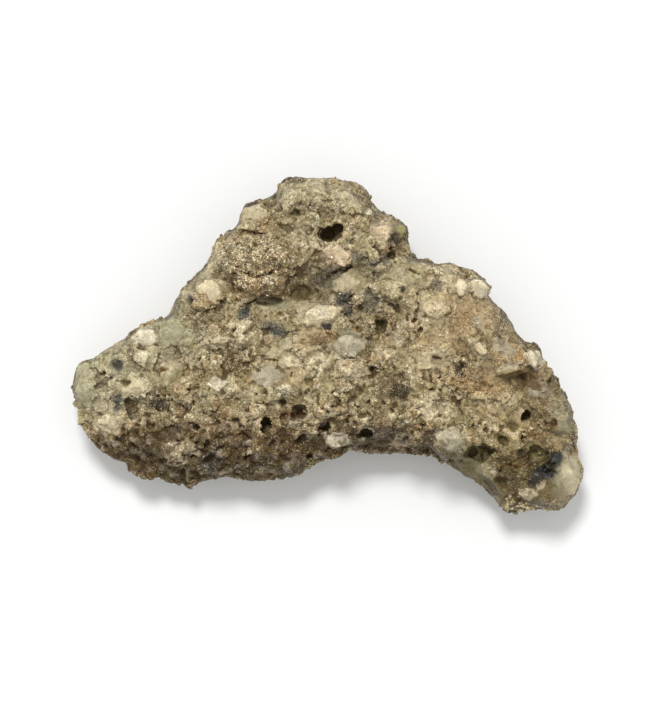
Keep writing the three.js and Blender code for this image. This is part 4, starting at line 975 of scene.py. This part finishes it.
def turned(amount):
    """That many random turns, as matrices."""
    q = rng.normal(size=(amount, 4))
    w, x, y, z = (q / np.linalg.norm(q, axis=1)[:, None]).T
    rows_of = [
        1 - 2 * (y * y + z * z), 2 * (x * y - z * w), 2 * (x * z + y * w),
        2 * (x * y + z * w), 1 - 2 * (x * x + z * z), 2 * (y * z - x * w),
        2 * (x * z - y * w), 2 * (y * z + x * w), 1 - 2 * (x * x + y * y),
    ]
    return np.stack(rows_of, 1).reshape(-1, 3, 3)


grain_sand, look, glass = sand_material("sand_grains", GRAIN_SPECKLE, GRAIN_GLOW, GRAIN_GLOW_REACH)
tree = grain_sand.node_tree
hue = put(tree, "ShaderNodeAttribute", attribute_name="grain").outputs["Fac"]
gloss = put(tree, "ShaderNodeMath", {
    0: hue, 1: -0.3, 2: look.outputs["Roughness"]}, operation="MULTIPLY_ADD")
tree.links.new(gloss.outputs[0], glass.inputs["Roughness"])

across = math.ceil(math.sqrt(GRAINS_EACH))
order = np.arange(GRAINS_EACH)
cell_at = np.stack([order % across, order // across], 1)[:, None, :]
for number in range(GRAIN_PIECES):
    seats = chosen[number * GRAINS_EACH:(number + 1) * GRAINS_EACH]
    at_vertex = first[seats]
    on_knob = knob[at_vertex]
    size = GRAIN_SIZE * np.exp(SIZE_SPREAD * rng.normal(size=GRAINS_EACH))
    size = np.clip(size, SMALLEST_GRAIN, LARGEST_GRAIN)
    size *= 1 - 0.1 * on_knob
    stretch = size[:, None] * rng.uniform(LEAST_STRETCH, MOST_STRETCH, (GRAINS_EACH, 3))
    form = rng.integers(0, GRAIN_FORMS, GRAINS_EACH)
    local = form_points[form] * stretch[:, None, :]
    local = np.einsum("gij,gvj->gvi", turned(GRAINS_EACH), local)
    stands = size * rng.uniform(DEEPEST_SEAT, HIGHEST_SEAT, GRAINS_EACH)
    centres = seat_points[seats] + seat_normals[seats] * stands[:, None]
    spread = local + centres[:, None, :]
    spread[:, :, 2] = np.maximum(spread[:, :, 2], TABLE_GAP)
    faces = form_faces[None] + each * order[:, None, None]
    mesh = bpy.data.meshes.new(f"sand_grains_{number + 1}")
    mesh.from_pydata((spread.reshape(-1, 3) * MM).tolist(), [], faces.reshape(-1, 3).tolist())
    atlas = (MARGIN + (1 - 2 * MARGIN) * form_map[None] + cell_at) / across
    mesh.uv_layers.new(name="OFBake").uv.foreach_set("vector", atlas.astype(np.float32).ravel())
    hues = rng.random(GRAINS_EACH)
    kept(mesh, "grain", np.repeat(hues, each))
    for key in ("crevice_fine", "crevice_wide", "smoothness", "crumble"):
        values = rows(body.data.attributes[key].data, "value", 1)[at_vertex, 0]
        kept(mesh, key, np.repeat(values * 0.7, each))
    own = picked(np.clip(hues + 0.15 * on_knob, 0, 1), GRAIN_COLOURS)
    own = laid_over(ground[at_vertex], own, 0.5 + 0.3 * on_knob)
    kept(mesh, "ground", np.repeat(np.c_[own, np.ones(GRAINS_EACH)], each, axis=0))
    tints = stains_and_painted_light[at_vertex]
    tints[:, 3] *= 0.85 * (1 - 0.75 * on_knob)
    kept(mesh, "stains_and_painted_light", np.repeat(tints, each, axis=0))
    grains = placed(f"sand_grains_{number + 1}", mesh)
    mesh.materials.append(grain_sand)
    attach(grains, "root")
